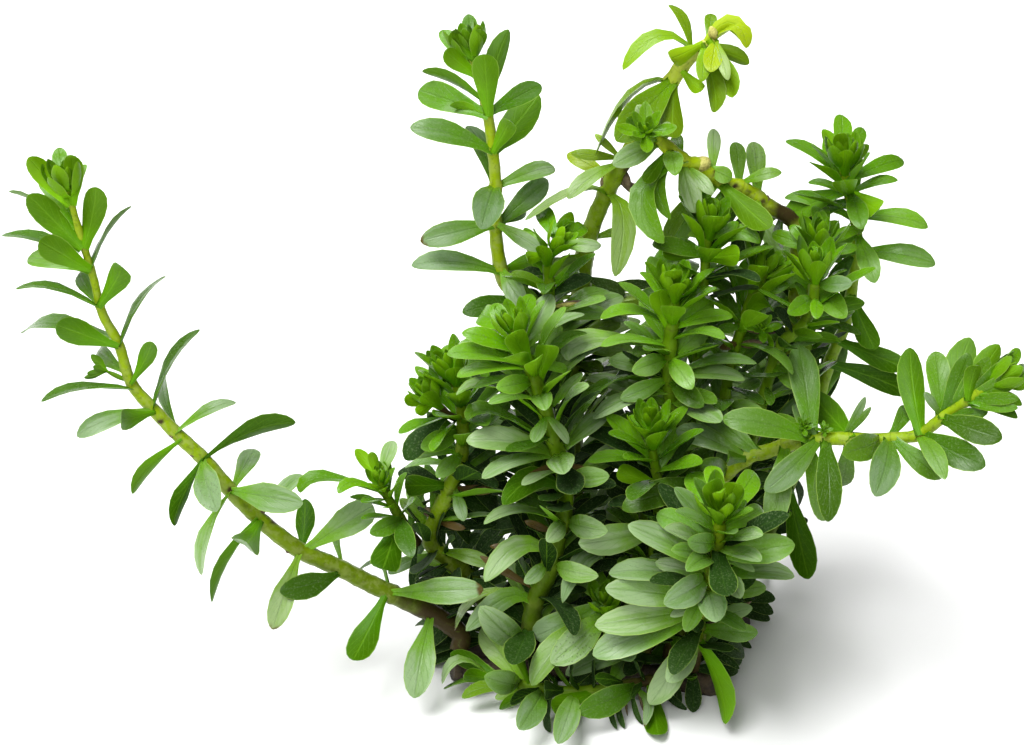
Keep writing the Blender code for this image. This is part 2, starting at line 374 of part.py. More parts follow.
# The two long shoots, whose grown leaves are pieces of their own
LONG_SHOOTS = {
    "runner": {
        "foot": (-26.2, -0.6, 6.8),
        "stem": [(-26, 8.5, 1), (-31.6, 12.5, 1), (-35.1, 14.2, 1), (-40, 16.6, 0),
                 (-45, 19, 0), (-49.6, 21.4, -1), (-54, 23.3, -2), (-57.8, 25, -2), (-62.3, 28.2, -2),
                 (-66.4, 31.7, -2), (-71.8, 37, -1), (-77.2, 43.3, 0), (-82.2, 48, 1), (-87, 53, 2),
                 (-91.8, 58.7, 3), (-94.2, 66.3, 4), (-97.5, 72.5, 4), (-99.4, 80, 4),
                 (-102, 88.5, 5), (-104.9, 99, 5)],
        "diameters": (4.0, 1.7),
        "leaves": [
            (-104, 94, -112.5, 104, 4, "Dn"), (-104, 94.6, -103.7, 104.5, 3.8, "Dn"),
            (-104.4, 96, -106.3, 106, 3, "Uf"), (-104, 95, -101, 102.6, 2.2, "Uf"),
            (-101, 85.5, -112.5, 96.3, 5, "Dn"), (-101, 85.5, -98.7, 98, 4.5, "Dn"),
            (-102, 87, -116, 97.2, 1.4, "Ef"), (-103, 90, -110, 99.6, 3, "Uf"),
            (-99.6, 80.5, -110.2, 87, 5, "Dn"), (-99.6, 80.5, -117.6, 88.4, 1.4, "E"),
            (-100, 82, -113, 83.6, 3.5, "Uf"), (-99.6, 82, -91.7, 94, 1.5, "E"),
            (-97.5, 73, -93.3, 82.4, 4.5, "Dn"), (-98, 74, -115, 78.2, 1.5, "E"),
            (-98, 75, -102.4, 81, 3, "Uf"), (-39.4, 17, -46.2, 20.6, 1.4, "Ef", -42, 23),
        ],
        "separate_leaves": [
            (-94.2, 66.8, -106, 72, 5, "Dn"), (-94.8, 68, -114, 69.5, 3.5, "Uf"),
            (-94, 66, -85.1, 80.4, 1.6, "E"), (-92.4, 61, -98.6, 65.4, 3.5, "Uf"),
            (-91.8, 59, -87.6, 67, 3.3, "Dn"), (-91.6, 58, -110, 55.3, 1.6, "E"),
            (-87, 54, -78.2, 69.5, 1.8, "E"), (-87, 53, -94.2, 51, 4, "Dn"),
            (-88, 53.8, -103, 48.3, 3.5, "U"), (-82.4, 48.6, -70.8, 55, 2.6, "U"),
            (-82.6, 49, -85.2, 61.5, 3, "Uf"), (-82, 47.4, -92, 36.6, 2.5, "D"),
            (-76.8, 43.4, -58.9, 51.3, 2.8, "D"), (-77, 43, -74.7, 33, 5.4, "Un"),
            (-77.6, 43, -83.7, 30, 3, "D"), (-71.4, 37, -57.5, 34.5, 5.6, "U"),
            (-71.8, 37.6, -67, 45.5, 4, "Uf"), (-72, 36.6, -77.8, 20.2, 2.7, "U"),
            (-66, 31, -69.4, 26, 6, "Dn"), (-66.8, 31.2, -75.8, 14.8, 2.3, "D"),
            (-66, 32, -57.4, 40.5, 3, "Uf"), (-57.4, 25.6, -57, 35.4, 4, "Df"),
            (-57.2, 25.4, -42.8, 34.3, 6, "U"), (-58.2, 24.6, -63.5, 9.3, 4.6, "U"),
            (-49.4, 21.6, -50.6, 33.4, 2, "Uf"), (-49.6, 21, -62, 17, 5, "U"),
            (-40.2, 16.6, -21.3, 17.3, 5.4, "Un"), (-40.6, 16.2, -47.5, 2.7, 5.5, "D"),
            (-32, 12.4, -35.2, -4.4, 6, "U"),
        ],
    },
    "right": {
        "foot": (15.4, -2.6, 5.1),
        "stem": [(19, 15, -2), (21, 28, -2), (25, 38, -2), (31, 43.5, -3), (35, 44.8, -3),
                 (40, 46.3, -4), (45, 47.3, -4), (51, 47.5, -5), (57, 47.3, -5), (62, 47.6, -6),
                 (66, 48.3, -6), (69, 50.5, -7), (71.5, 52.5, -7), (74.5, 54.5, -7.5), (79, 57.5, -8),
                 (83, 60, -8)],
        "diameters": (3.2, 1.8),
        "leaves": [
            (77, 56, 81.8, 66.3, 4.5, "D"), (75.5, 55, 77.4, 62.5, 3, "Dn"),
            (74.5, 54.3, 85.8, 51.9, 2.5, "U"), (78, 56.8, 86.6, 54.4, 2, "Un"),
            (81, 58.8, 86, 65.6, 2.5, "Uf"), (82, 59.4, 87.4, 61.4, 3, "Uf"),
            (81.6, 59, 87.4, 58, 2.2, "D"), (70.5, 52, 76, 67.7, 6, "D"),
            (70, 51.4, 69, 65.2, 4.5, "Uf"), (71, 52, 82.4, 47.5, 5, "U"),
            (31, 43.6, 16.8, 49.6, 4, "U"), (25.6, 38.6, 27.6, 46.5, 3, "Uf"), (25, 38, 6.3, 33.6, 5, "U"),
            (24, 36, 32, 31, 4.5, "Un"), (19.5, 20, 28, 25, 4.5, "Uf"), (20, 24, 12, 19, 4.5, "Un"),
            (39, 46, 36.3, 29.6, 5, "U"), (42, 46.5, 47.5, 30.6, 5, "U"), (48, 47, 47.9, 31, 5, "U"),
            (46, 47, 45, 36.5, 2.8, "U"), (44, 48, 41.5, 54.5, 3, "Uf"), (52, 47, 50, 37.3, 4, "Uf"),
            (65.8, 47, 71, 39.8, 3.8, "Un"), (60, 48.5, 63.5, 54, 3, "Uf"),
            (26.8, 40.5, 22, 42.3, 4, "U"), (31, 44, 27.5, 43.5, 3, "D"),
        ],
        "separate_leaves": [
            (33, 44.4, 21.2, 54.3, 5.3, "U"),
            (44.6, 47.4, 41.7, 66.4, 5.8, "U"), (43.6, 47.2, 26.5, 51.6, 5, "Un"),
            (45, 47, 35, 37, 5, "Un"), (51.4, 48, 44, 56.8, 5.5, "D"),
            (59.6, 47, 57.3, 36.3, 5.8, "U"), (57.6, 47.4, 50.6, 44.4, 5, "Un"),
            (60.6, 47.4, 70.6, 39.6, 4, "U"), (66.6, 48.6, 79, 42, 5.5, "U"),
            (66, 48.8, 63.8, 65.7, 5.2, "D"),
        ],
    },
}


def on_view_ray(across, up, near):
    """The place seen at (across, up) that lies near millimetres in front of the view's target plane."""
    shrink = 1.0 - near / VIEW_DISTANCE
    side = (across - VIEW_CENTRE_ACROSS) * shrink
    rise = (up - VIEW_CENTRE_UP) * shrink
    return VIEW_TARGET + RIGHTWARD * side + UPWARD * rise + TOWARD * near


def place(across, up, back):
    """The place seen at (across, up) whose Y is back."""
    rise = up - VIEW_CENTRE_UP
    forward = VIEW_TARGET.y + rise * UPWARD.y - back
    return on_view_ray(across, up, forward / (-TOWARD.y + rise * UPWARD.y / VIEW_DISTANCE))


def seen_at(point):
    """The (across, up, near) of a place."""
    offset = point - VIEW_TARGET
    near = offset.dot(TOWARD)
    shrink = 1.0 - near / VIEW_DISTANCE
    across = offset.dot(RIGHTWARD) / shrink + VIEW_CENTRE_ACROSS
    return across, offset.dot(UPWARD) / shrink + VIEW_CENTRE_UP, near


class Stem:
    """A smooth centre line with a diameter that runs evenly from its foot to its tip."""

    STEPS = 8

    def __init__(self, spec):
        start = Vector(spec["foot"]) if "foot" in spec else place(*spec["fork"])
        knots = [start] + [place(*point) for point in spec["stem"]]
        self.points = smooth_line(knots, self.STEPS)
        self.lengths = [0.0]
        for before, after in zip(self.points, self.points[1:]):
            self.lengths.append(self.lengths[-1] + (after - before).length)
        self.length = self.lengths[-1]
        self.foot_radius, self.tip_radius = (diameter / 2.0 for diameter in spec["diameters"])
        self.seen = [seen_at(point) for point in self.points]
        self.frames = carried_frames(self.points)

    def at(self, distance):
        """(point, tangent, side) at a distance from the foot."""
        distance = min(max(distance, 0.0), self.length)
        index = 0
        while index < len(self.points) - 2 and self.lengths[index + 1] < distance:
            index += 1
        share = (distance - self.lengths[index]) / (self.lengths[index + 1] - self.lengths[index])
        point = self.points[index].lerp(self.points[index + 1], share)
        tangent = (self.points[index + 1] - self.points[index]).normalized()
        side = self.frames[index]
        side = (side - tangent * side.dot(tangent)).normalized()
        return point, tangent, side

    def radius(self, distance):
        taper = self.foot_radius + (self.tip_radius - self.foot_radius) * distance / self.length
        to_tip = self.length - distance
        return taper * min(1.0, STEM_TIP_SHARE + (1.0 - STEM_TIP_SHARE) * to_tip / STEM_TIP_LENGTH)

    def nearest(self, across, up):
        """The distance along the stem of the point seen nearest to (across, up)."""
        best = min(
            range(len(self.seen)),
            key=lambda i: (self.seen[i][0] - across) ** 2 + (self.seen[i][1] - up) ** 2,
        )
        return self.lengths[best]


def smooth_line(knots, steps):
    """A Catmull-Rom line through the knots."""
    ends = [knots[0] * 2 - knots[1]] + knots + [knots[-1] * 2 - knots[-2]]
    line = []
    for a, b, c, d in zip(ends, ends[1:], ends[2:], ends[3:]):
        for step in range(steps):
            t = step / steps
            line.append(
                0.5 * (b * 2 + (c - a) * t + (a * 2 - b * 5 + c * 4 - d) * t**2
                       + (b * 3 - a - c * 3 + d) * t**3)
            )
    return line + [knots[-1]]


def carried_frames(points):
    """A direction square to the line at each point, carried along without twist."""
    tangent = (points[1] - points[0]).normalized()
    side = tangent.cross(UPWARD if abs(tangent.dot(UPWARD)) < 0.9 else RIGHTWARD).normalized()
    sides = []
    for index in range(len(points)):
        after = points[min(index + 1, len(points) - 1)]
        before = points[max(index - 1, 0)]
        tangent = (after - before).normalized()
        side = (side - tangent * side.dot(tangent)).normalized()
        sides.append(side)
    return sides


class Leaf:
    """A flat tapering blade on a bowed centre line, from its foot on the stem to its tip."""

    def __init__(self, row, foot, stem_direction, tip_shift, sideways, scale):
        across, up, width, view = row[2:6]
        foot_across, foot_up, foot_near = seen_at(foot)
        seen = math.hypot(across - foot_across, up - foot_up)
        length = seen * BOWED_OVER_SEEN
        if "E" not in view:
            length = max(length, min(width * LEAF_SLENDERNESS, LONGEST_TURNED_LEAF))
        rear = "n" not in view if up > foot_up + STEEP_RISE * seen else "f" in view
        depth = math.sqrt(max(length**2 - seen**2, 0.0)) * (-1.0 if rear else 1.0)
        tip = on_view_ray(across, up, foot_near + depth + tip_shift)
        chord = tip - foot
        self.full_width = max(width, length / SLIMMEST_LEAF) * (0.8 + 0.2 * scale)
        if "E" in view:
            self.full_width = length / EDGE_ON_SLENDERNESS
        flatness = min(1.0, width / self.full_width)
        flat = Vector((chord.dot(RIGHTWARD), chord.dot(UPWARD), 0.0))
        across_leaf = (RIGHTWARD * -flat.y + UPWARD * flat.x).normalized()
        tip += across_leaf * sideways
        chord = (tip - foot) * scale
        tip = foot + chord
        across_leaf = (across_leaf - chord * (across_leaf.dot(chord) / chord.length_squared)).normalized()
        facing = chord.cross(across_leaf).normalized()
        if facing.dot(TOWARD) < 0:
            facing = -facing
        if "D" in view:
            facing = -facing
        lean = math.copysign(math.sqrt(1.0 - flatness**2), across_leaf.dot(stem_direction))
        self.upper = (facing * flatness + across_leaf * lean).normalized()
        self.sideways = self.upper.cross(chord).normalized()
        self.foot, self.tip, self.length = foot, tip, chord.length
        middle = (foot + tip) / 2.0
        self.control = middle + self.upper * (self.length * LEAF_BOW * 2.0)
        if len(row) > 6:
            self.control = on_view_ray(*row[6:8], foot_near + (depth + tip_shift) / 2.0) * 2.0 - middle

    def section(self, along, width, thickness):
        """Upper left, upper right, lower right and lower left corners of a cut across the leaf."""
        rest = 1.0 - along
        centre = self.foot * rest**2 + self.control * (2 * rest * along) + self.tip * along**2
        run = (self.control - self.foot) * rest + (self.tip - self.control) * along
        side = self.sideways - run * (self.sideways.dot(run) / run.length_squared)
        side = side.normalized() * (width / 2.0)
        lift = run.cross(side).normalized() * (thickness / 2.0)
        return [centre - side + lift, centre + side + lift, centre + side - lift, centre - side - lift]

    def stations(self):
        """(share of the length, share of the full width) of each cut, the tip's edge last."""
        if self.length > LONG_LEAF:
            return [(0.40, 0.62), (0.74, 1.0), (1.0, 0.42)]
        return [(0.62, 0.95), (1.0, 0.45)]

    def outline(self, swell=0.0, start=0.0, base=None):
        """Corners and faces of the leaf as a closed mesh that begins at start, or at the base corners."""
        first = self.section(start, LEAF_FOOT_WIDTH + 2 * swell, LEAF_THICKNESS + 2 * swell)
        if base:
            for corner, index in zip(base, matching_order(base, self)):
                first[index] = corner
        corners, faces = list(first), [(0, 1, 2, 3)]
        stations = [cut for cut in self.stations() if cut[0] > start + 0.05]
        for along, share in stations[:-1]:
            width = self.full_width * share + 2 * swell
            corners += self.section(along, width, LEAF_THICKNESS + 2 * swell)
            low = len(corners) - 8
            faces += [(low + i, low + (i + 1) % 4, low + 4 + (i + 1) % 4, low + 4 + i) for i in range(4)]
        reach = 1.0 + swell / self.length
        left, right, _, _ = self.section(reach, self.full_width * stations[-1][1] + 2 * swell, TIP_EDGE)
        last = len(corners) - 4
        corners += [left, right]
        tip_left, tip_right = last + 4, last + 5
        faces += [
            (last, last + 1, tip_right, tip_left),
            (last + 1, last + 2, tip_right),
            (last + 2, last + 3, tip_left, tip_right),
            (last + 3, last, tip_left),
        ]
        return corners, faces


class Clump:
    """Everything that is already in place, so that a new leaf can keep clear of it."""

    def __init__(self):
        self.pieces = []

    def add(self, owner, kind, corners, faces):
        self.pieces.append((owner, kind, bounds_of(corners), BVHTree.FromPolygons(corners, faces)))

    def is_hit(self, corners, faces, skip):
        low, high = bounds_of(corners)
        tree = None
        for owner, kind, (other_low, other_high), other in self.pieces:
            if (owner, kind) in skip:
                continue
            if any(low[i] > other_high[i] or high[i] < other_low[i] for i in range(3)):
                continue
            tree = tree or BVHTree.FromPolygons(corners, faces)
            if tree.overlap(other):
                return True
        return False


def bounds_of(corners):
    low = [min(corner[i] for corner in corners) for i in range(3)]
    high = [max(corner[i] for corner in corners) for i in range(3)]
    return low, high


def ring(stem, distance, sides=STEM_SIDES, swell=0.0):
    point, tangent, side = stem.at(distance)
    radius = stem.radius(distance) + swell
    other = tangent.cross(side)
    corners = []
    for index in range(sides):
        angle = 2.0 * math.pi * index / sides
        corners.append(point + (side * math.cos(angle) + other * math.sin(angle)) * radius)
    return corners


def whorls_of(stem, rows):
    """Groups the leaves along the stem and gives each group the place of its band."""
    placed = sorted(((stem.nearest(row[0], row[1]), row) for row in rows), key=lambda pair: pair[0])
    groups = []
    for distance, row in placed:
        if groups and distance - groups[-1][0][0] < WHORL_REACH and len(groups[-1]) < LEAVES_IN_WHORL:
            groups[-1].append((distance, row))
        else:
            groups.append([(distance, row)])
    centres = [sum(distance for distance, _ in group) / len(group) for group in groups]
    highest = stem.length - BAND_HEIGHT
    for index in reversed(range(len(centres))):
        centres[index] = max(min(centres[index], highest), BAND_HEIGHT)
        highest = centres[index] - BAND_SPACING
    return [(centre, [row for _, row in group]) for centre, group in zip(centres, groups)]


def direction_about(stem, distance, row):
    """The angle about the stem at which a leaf leaves it."""
    point, tangent, side = stem.at(distance)
    _, _, near = seen_at(point)
    seen = math.hypot(row[2] - row[0], row[3] - row[1])
    length = max(seen * BOWED_OVER_SEEN, 0.0 if "E" in row[5] else row[4] * LEAF_SLENDERNESS)
    depth = math.sqrt(max(length**2 - seen**2, 0.0))
    steep = row[3] > row[1] + STEEP_RISE * seen
    rear = "n" not in row[5] if steep else "f" in row[5]
    toward_tip = on_view_ray(row[2], row[3], near + (-depth if rear else depth)) - point
    other = tangent.cross(side)
    return math.atan2(toward_tip.dot(other), toward_tip.dot(side)) % (2.0 * math.pi)


def give_sides(stem, distance, rows):
    """Gives each leaf of a whorl its own side of the stem, the one nearest to its direction."""
    step = 2.0 * math.pi / STEM_SIDES
    free = set(range(STEM_SIDES))
    given = []
    for row in rows:
        angle = direction_about(stem, distance, row)

        def turn(index):
            return abs((angle - (index + 0.5) * step + math.pi) % (2.0 * math.pi) - math.pi)

        chosen = min(sorted(free), key=turn)
        free.remove(chosen)
        given.append((row, chosen))
    return given


# What a leaf may do to keep clear: tip nearer or farther, tip sideways, drawn in, foot farther out
SHIFTS = (0.0, 1.2, -1.2, 2.4, -2.4, 3.6, -3.6, 5.0, -5.0, 7.0, -7.0, 9.0, -9.0, 12.0)
SIDESTEPS = (0.0, 0.9, -0.9, 1.8, -1.8)
SCALES = (1.0, 0.86, 0.72)
FOOT_REACHES = (0.3, 0.7, 1.1, 1.5)


def fitted_leaf(clump, owner, row, foot, stem_direction, base=None):
    """The leaf of this row, turned or shortened as little as its neighbours need, or None."""
    own = {(owner, "stem"), (owner, "leaf")} if base else set()
    for scale in SCALES:
        for sideways in SIDESTEPS:
            for shift in SHIFTS:
                leaf = Leaf(row, foot, stem_direction, shift, sideways, scale)
                if leaf.length < SMALLEST_LEAF:
                    continue
                whole = leaf.outline(GAP / 2, 0.0, base)
                if min(corner.z for corner in whole[0]) < GROUND_GAP:
                    continue
                if clump.is_hit(*whole, own):
                    continue
                if clump.is_hit(*leaf.outline(GAP / 2, FREE_PART), set()):
                    continue
                return leaf
    return None


def matching_order(base, leaf):
    """The order of a cut's corners that joins them to the four base corners with the least twist."""
    along, share = leaf.stations()[0]
    cut = leaf.section(along, leaf.full_width * share, LEAF_THICKNESS)
    run = (leaf.tip - leaf.foot).normalized()

    def turned(corners):
        centre = sum(corners, Vector()) / 4.0
        after = corners[1:] + corners[:1]
        return sum((a - centre).cross(b - centre).dot(run) for a, b in zip(corners, after)) > 0

    order = [0, 1, 2, 3] if turned(base) == turned(cut) else [3, 2, 1, 0]
    orders = [order[k:] + order[:k] for k in range(4)]
    return min(orders, key=lambda o: sum((base[i] - cut[o[i]]).length for i in range(4)))


def add_leaf_faces(mesh, base, leaf):
    """Grows a leaf out of four corners of the mesh."""
    order = matching_order([vert.co.copy() for vert in base], leaf)
    last = base
    for along, share in leaf.stations()[:-1]:
        corners = leaf.section(along, leaf.full_width * share, LEAF_THICKNESS)
        cut = [mesh.verts.new(corners[index]) for index in order]
        for i in range(4):
            mesh.faces.new((last[i], last[(i + 1) % 4], cut[(i + 1) % 4], cut[i]))
        last = cut
    left, right, _, _ = leaf.section(1.0, leaf.full_width * leaf.stations()[-1][1], TIP_EDGE)
    left_end, right_end = mesh.verts.new(left), mesh.verts.new(right)
    ends = [left_end if index in (0, 3) else right_end for index in order]
    for i in range(4):
        j = (i + 1) % 4
        if ends[i] is ends[j]:
            mesh.faces.new((last[i], last[j], ends[i]))
        else:
            mesh.faces.new((last[i], last[j], ends[j], ends[i]))


def ring_places(stem, whorls):
    """Distances of every ring of the stem: two at each band, and more where the stretch is long."""
    places = [0.0]
    for centre, _ in whorls:
        places += [centre - BAND_HEIGHT / 2, centre + BAND_HEIGHT / 2]
    places.append(stem.length)
    filled = []
    for before, after in zip(places, places[1:]):
        filled.append(before)
        parts = max(1, round((after - before) / LONGEST_STRETCH))
        filled += [before + (after - before) * part / parts for part in range(1, parts)]
    return filled + [stem.length]


def stem_mesh(stem, whorls):
    """The stem's rings and side faces, with the caps, and the corners of each band's sides."""
    mesh = bmesh.new()
    places = ring_places(stem, whorls)
    rings = [[mesh.verts.new(corner) for corner in ring(stem, distance)] for distance in places]
    mesh.faces.new(rings[0])
    mesh.faces.new(rings[-1])
    sides = {}
    for place_below, below, above in zip(places, rings, rings[1:]):
        for i in range(STEM_SIDES):
            j = (i + 1) % STEM_SIDES
            sides[place_below, i] = mesh.faces.new((below[i], below[j], above[j], above[i]))
    return mesh, sides


def outline_of(mesh):
    """The corners and faces of a bmesh."""
    mesh.verts.index_update()
    corners = [vert.co.copy() for vert in mesh.verts]
    return corners, [[vert.index for vert in face.verts] for face in mesh.faces]


def grow_leaves(clump, name, stem, whorls, mesh, sides):
    """Grows the leaves out of the stem's bands and returns the rows that found no room."""
    dropped = []
    for centre, group in whorls:
        _, tangent, _ = stem.at(centre)
        for row, side in give_sides(stem, centre, group):
            face = sides[centre - BAND_HEIGHT / 2, side]
            foot = face.calc_center_median()
            base = list(face.verts)
            base_corners = [vert.co.copy() for vert in base]
            leaf = fitted_leaf(clump, name, row, foot, tangent, base_corners)
            if leaf is None:
                dropped.append(row)
                continue
            clump.add(name, "leaf", *leaf.outline(base=base_corners))
            mesh.faces.remove(face)
            add_leaf_faces(mesh, base, leaf)
    return dropped


def separate_leaf(clump, name, stem, row):
    """A leaf that stops a small gap short of the stem, as a closed mesh."""
    distance = stem.nearest(row[0], row[1])
    point, tangent, side = stem.at(distance)
    angle = direction_about(stem, distance, row)
    outward = side * math.cos(angle) + tangent.cross(side) * math.sin(angle)
    leaf = None
    for reach in FOOT_REACHES:
        foot = point + outward * (stem.radius(distance) + GAP + reach)
        leaf = leaf or fitted_leaf(clump, name, row, foot, tangent)
    if leaf is None:
        return None
    corners, faces = leaf.outline()
    clump.add(name, "leaf apart", corners, faces)
    mesh = bmesh.new()
    verts = [mesh.verts.new(corner) for corner in corners]
    for face in faces:
        mesh.faces.new([verts[i] for i in face])
    return mesh


def material(name, colour, roughness):
    made = bpy.data.materials.new(name)
    made.use_nodes = True
    shader = made.node_tree.nodes["Principled BSDF"]
    shader.inputs["Base Color"].default_value = colour
    shader.inputs["Roughness"].default_value = roughness
    return made


def named_object(name, mesh, look):
    """Puts a finished mesh, drawn in millimetres, into the scene at real size."""
    bmesh.ops.recalc_face_normals(mesh, faces=mesh.faces)
    mesh.transform(Matrix.Scale(MM, 4))
    data = bpy.data.meshes.new(name)
    mesh.to_mesh(data)
    mesh.free()
    data.materials.append(look)
    made = bpy.data.objects.new(name, data)
    bpy.context.scene.collection.objects.link(made)
    return made


def rootstock_arm(knots):
    line = smooth_line([Vector(knot) for knot in knots], 1)
    frames = carried_frames(line)
    mesh = bmesh.new()
    rings = []
    for index, point in enumerate(line):
        after = line[min(index + 1, len(line) - 1)]
        before = line[max(index - 1, 0)]
        tangent = (after - before).normalized()
        other = tangent.cross(frames[index])
        corners = []
        for i in range(ROOTSTOCK_SIDES):
            angle = 2.0 * math.pi * (i + 0.5) / ROOTSTOCK_SIDES
            offset = frames[index] * math.cos(angle) + other * math.sin(angle)
            corners.append(mesh.verts.new(point + offset * ROOTSTOCK_RADIUS))
        rings.append(corners)
    mesh.faces.new(rings[0])
    mesh.faces.new(rings[-1])
    for below, above in zip(rings, rings[1:]):
        for i in range(ROOTSTOCK_SIDES):
            j = (i + 1) % ROOTSTOCK_SIDES
            mesh.faces.new((below[i], below[j], above[j], above[i]))
    return mesh


def make_rootstock(look):
    """The creeping stems joined in one piece and cut off flat at the ground."""
    arms = [
        named_object(f"rootstock_arm_{index}", rootstock_arm(knots), look)
        for index, knots in enumerate(ROOTSTOCK_ARMS)
    ]
    whole = arms[0]
    whole.name = "rootstock"
    bpy.ops.mesh.primitive_cube_add(size=1.0)
    ground = bpy.context.object
    ground.name = "ground_cutter"
    ground.scale = (0.2, 0.2, 0.02)
    ground.location = (0.0, 0.0, -0.01)
    for helper in arms[1:] + [ground]:
        helper.hide_render = True
        helper.display_type = "WIRE"
    for arm in arms[1:]:
        join = whole.modifiers.new(f"join {arm.name}", "BOOLEAN")
        join.operation = "UNION"
        join.object = arm
    cut = whole.modifiers.new("cut off flat", "BOOLEAN")
    cut.operation = "DIFFERENCE"
    cut.object = ground
    return whole


def main():
    for old in list(bpy.data.objects):
        bpy.data.objects.remove(old)
    shoot_green = material("shoot green", GREEN, 0.45)
    old_green = material("old leaf green", DARK_GREEN, 0.5)
    stem_green = material("stem yellow-green", STEM_GREEN, 0.4)
    bark = material("rootstock brown", BROWN, 0.8)
    rootstock = make_rootstock(bark)

    clump = Clump()
    for knots in ROOTSTOCK_ARMS:
        arm = rootstock_arm(knots)
        clump.add("rootstock", "stem", *outline_of(arm))
        arm.free()

    shoots = {}
    for name, spec in {**LONG_SHOOTS, **SHOOTS}.items():
        stem = Stem(spec)
        whorls = whorls_of(stem, spec["leaves"])
        mesh, sides = stem_mesh(stem, whorls)
        clump.add(name, "stem", *outline_of(mesh))
        shoots[name] = (stem, whorls, mesh, sides)

    for name, spec in LONG_SHOOTS.items():
        made = 0
        for row in spec["separate_leaves"]:
            mesh = separate_leaf(clump, name, shoots[name][0], row)
            if mesh is None:
                print("left out", name, row)
                continue
            made += 1
            named_object(f"{name}_leaf_{made:02d}", mesh, old_green)

    for name, (stem, whorls, mesh, sides) in shoots.items():
        for row in grow_leaves(clump, name, stem, whorls, mesh, sides):
            print("left out", name, row)
        if name in LONG_SHOOTS:
            named_object(f"{name}_stem", mesh, stem_green)
        else:
            named_object(name, mesh, shoot_green)


main()
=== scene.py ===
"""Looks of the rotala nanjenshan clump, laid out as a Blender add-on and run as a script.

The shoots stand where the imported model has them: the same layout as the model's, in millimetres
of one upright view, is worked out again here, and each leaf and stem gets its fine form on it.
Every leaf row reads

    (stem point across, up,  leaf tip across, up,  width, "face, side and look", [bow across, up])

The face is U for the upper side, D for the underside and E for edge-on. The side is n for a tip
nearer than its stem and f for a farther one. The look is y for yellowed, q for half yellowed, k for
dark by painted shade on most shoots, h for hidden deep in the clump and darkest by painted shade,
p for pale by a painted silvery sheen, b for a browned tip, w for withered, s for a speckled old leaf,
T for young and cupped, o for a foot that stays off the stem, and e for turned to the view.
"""

import math
import random
from functools import cache

import bpy
import numpy as np
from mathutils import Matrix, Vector
from mathutils.bvhtree import BVHTree


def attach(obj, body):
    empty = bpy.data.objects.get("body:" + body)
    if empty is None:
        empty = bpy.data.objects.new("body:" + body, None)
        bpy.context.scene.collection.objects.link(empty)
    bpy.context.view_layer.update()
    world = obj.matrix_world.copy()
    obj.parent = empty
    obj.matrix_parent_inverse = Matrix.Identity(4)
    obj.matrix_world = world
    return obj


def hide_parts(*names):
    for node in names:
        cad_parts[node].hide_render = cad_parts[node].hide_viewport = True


bl_info = {
    "name": "Rotala Clump",
    "version": (1, 0, 0),
    "blender": (4, 5, 0),
    "location": "View3D > Sidebar > Rotala",
    "description": "Models the looks of a rooted clump of rotala nanjenshan",
    "category": "Add Mesh",
}

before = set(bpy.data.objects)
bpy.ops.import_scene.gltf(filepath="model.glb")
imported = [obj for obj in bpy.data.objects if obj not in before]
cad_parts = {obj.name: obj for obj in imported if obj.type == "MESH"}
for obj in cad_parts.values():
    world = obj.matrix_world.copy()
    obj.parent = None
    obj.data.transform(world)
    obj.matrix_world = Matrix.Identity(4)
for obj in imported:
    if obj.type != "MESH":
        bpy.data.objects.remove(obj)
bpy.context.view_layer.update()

MM = 0.001

# The view that the layout is drawn in
VIEW_TILT = math.radians(30.0)
VIEW_DISTANCE = 450.0
VIEW_CENTRE_ACROSS = -15.6
VIEW_CENTRE_UP = 60.7
RIGHTWARD = Vector((1.0, 0.0, 0.0))
UPWARD = Vector((0.0, math.sin(VIEW_TILT), math.cos(VIEW_TILT)))
TOWARD = Vector((0.0, -math.cos(VIEW_TILT), math.sin(VIEW_TILT)))
VIEW_TARGET = RIGHTWARD * VIEW_CENTRE_ACROSS + UPWARD * VIEW_CENTRE_UP

# Driving dimensions of stems and leaves
STEM_SIDES = 6
LONGEST_STRETCH = 9.0
BAND_HEIGHT = 1.1
BAND_SPACING = 1.55
WHORL_REACH = 2.6
LEAVES_IN_WHORL = 5
LEAF_THICKNESS = 0.85
LEAF_FOOT_WIDTH = 1.3
TIP_EDGE = 0.02
LEAF_SLENDERNESS = 2.9
EDGE_ON_SLENDERNESS = 3.3
SLIMMEST_LEAF = 3.4
LONG_LEAF = 15.5
LONGEST_TURNED_LEAF = 17.0
SMALLEST_LEAF = 3.4
LEAF_BOW = 0.10
BOWED_OVER_SEEN = 1.04
STEEP_RISE = 0.35
STEM_TIP_SHARE = 0.45
STEM_TIP_LENGTH = 5.0
GAP = 0.35
FREE_PART = 0.34
GROUND_GAP = 0.1
ROOTSTOCK_RADIUS = 2.4
ROOTSTOCK_SIDES = 7

# The old creeping stems as (x, y, z) points of their axes
ROOTSTOCK_ARMS = [
    [(-27.5, -0.8, 2.4), (-22, 0.5, 1.6), (-10, 1.5, 1.6), (0, 0, 1.6), (10, -1.5, 1.6),
     (20, -4, 1.6), (26, -5, 1.6)],
    [(-26, 8, 1.8), (-20, 6, 1.6), (-10, 1.5, 1.6), (0, 4.5, 1.6), (8, 8.5, 1.6), (18, 11, 1.6),
     (26, 11.5, 1.6), (32, 17, 1.6)],
    [(0, 0, 1.6), (-4, 8, 1.6), (-8, 14.5, 1.6), (-3, 24, 1.6), (-1, 28, 1.6)],
    [(8, 8.5, 1.6), (14, 14, 1.6), (22, 19, 1.6), (28, 25, 1.6)],
]

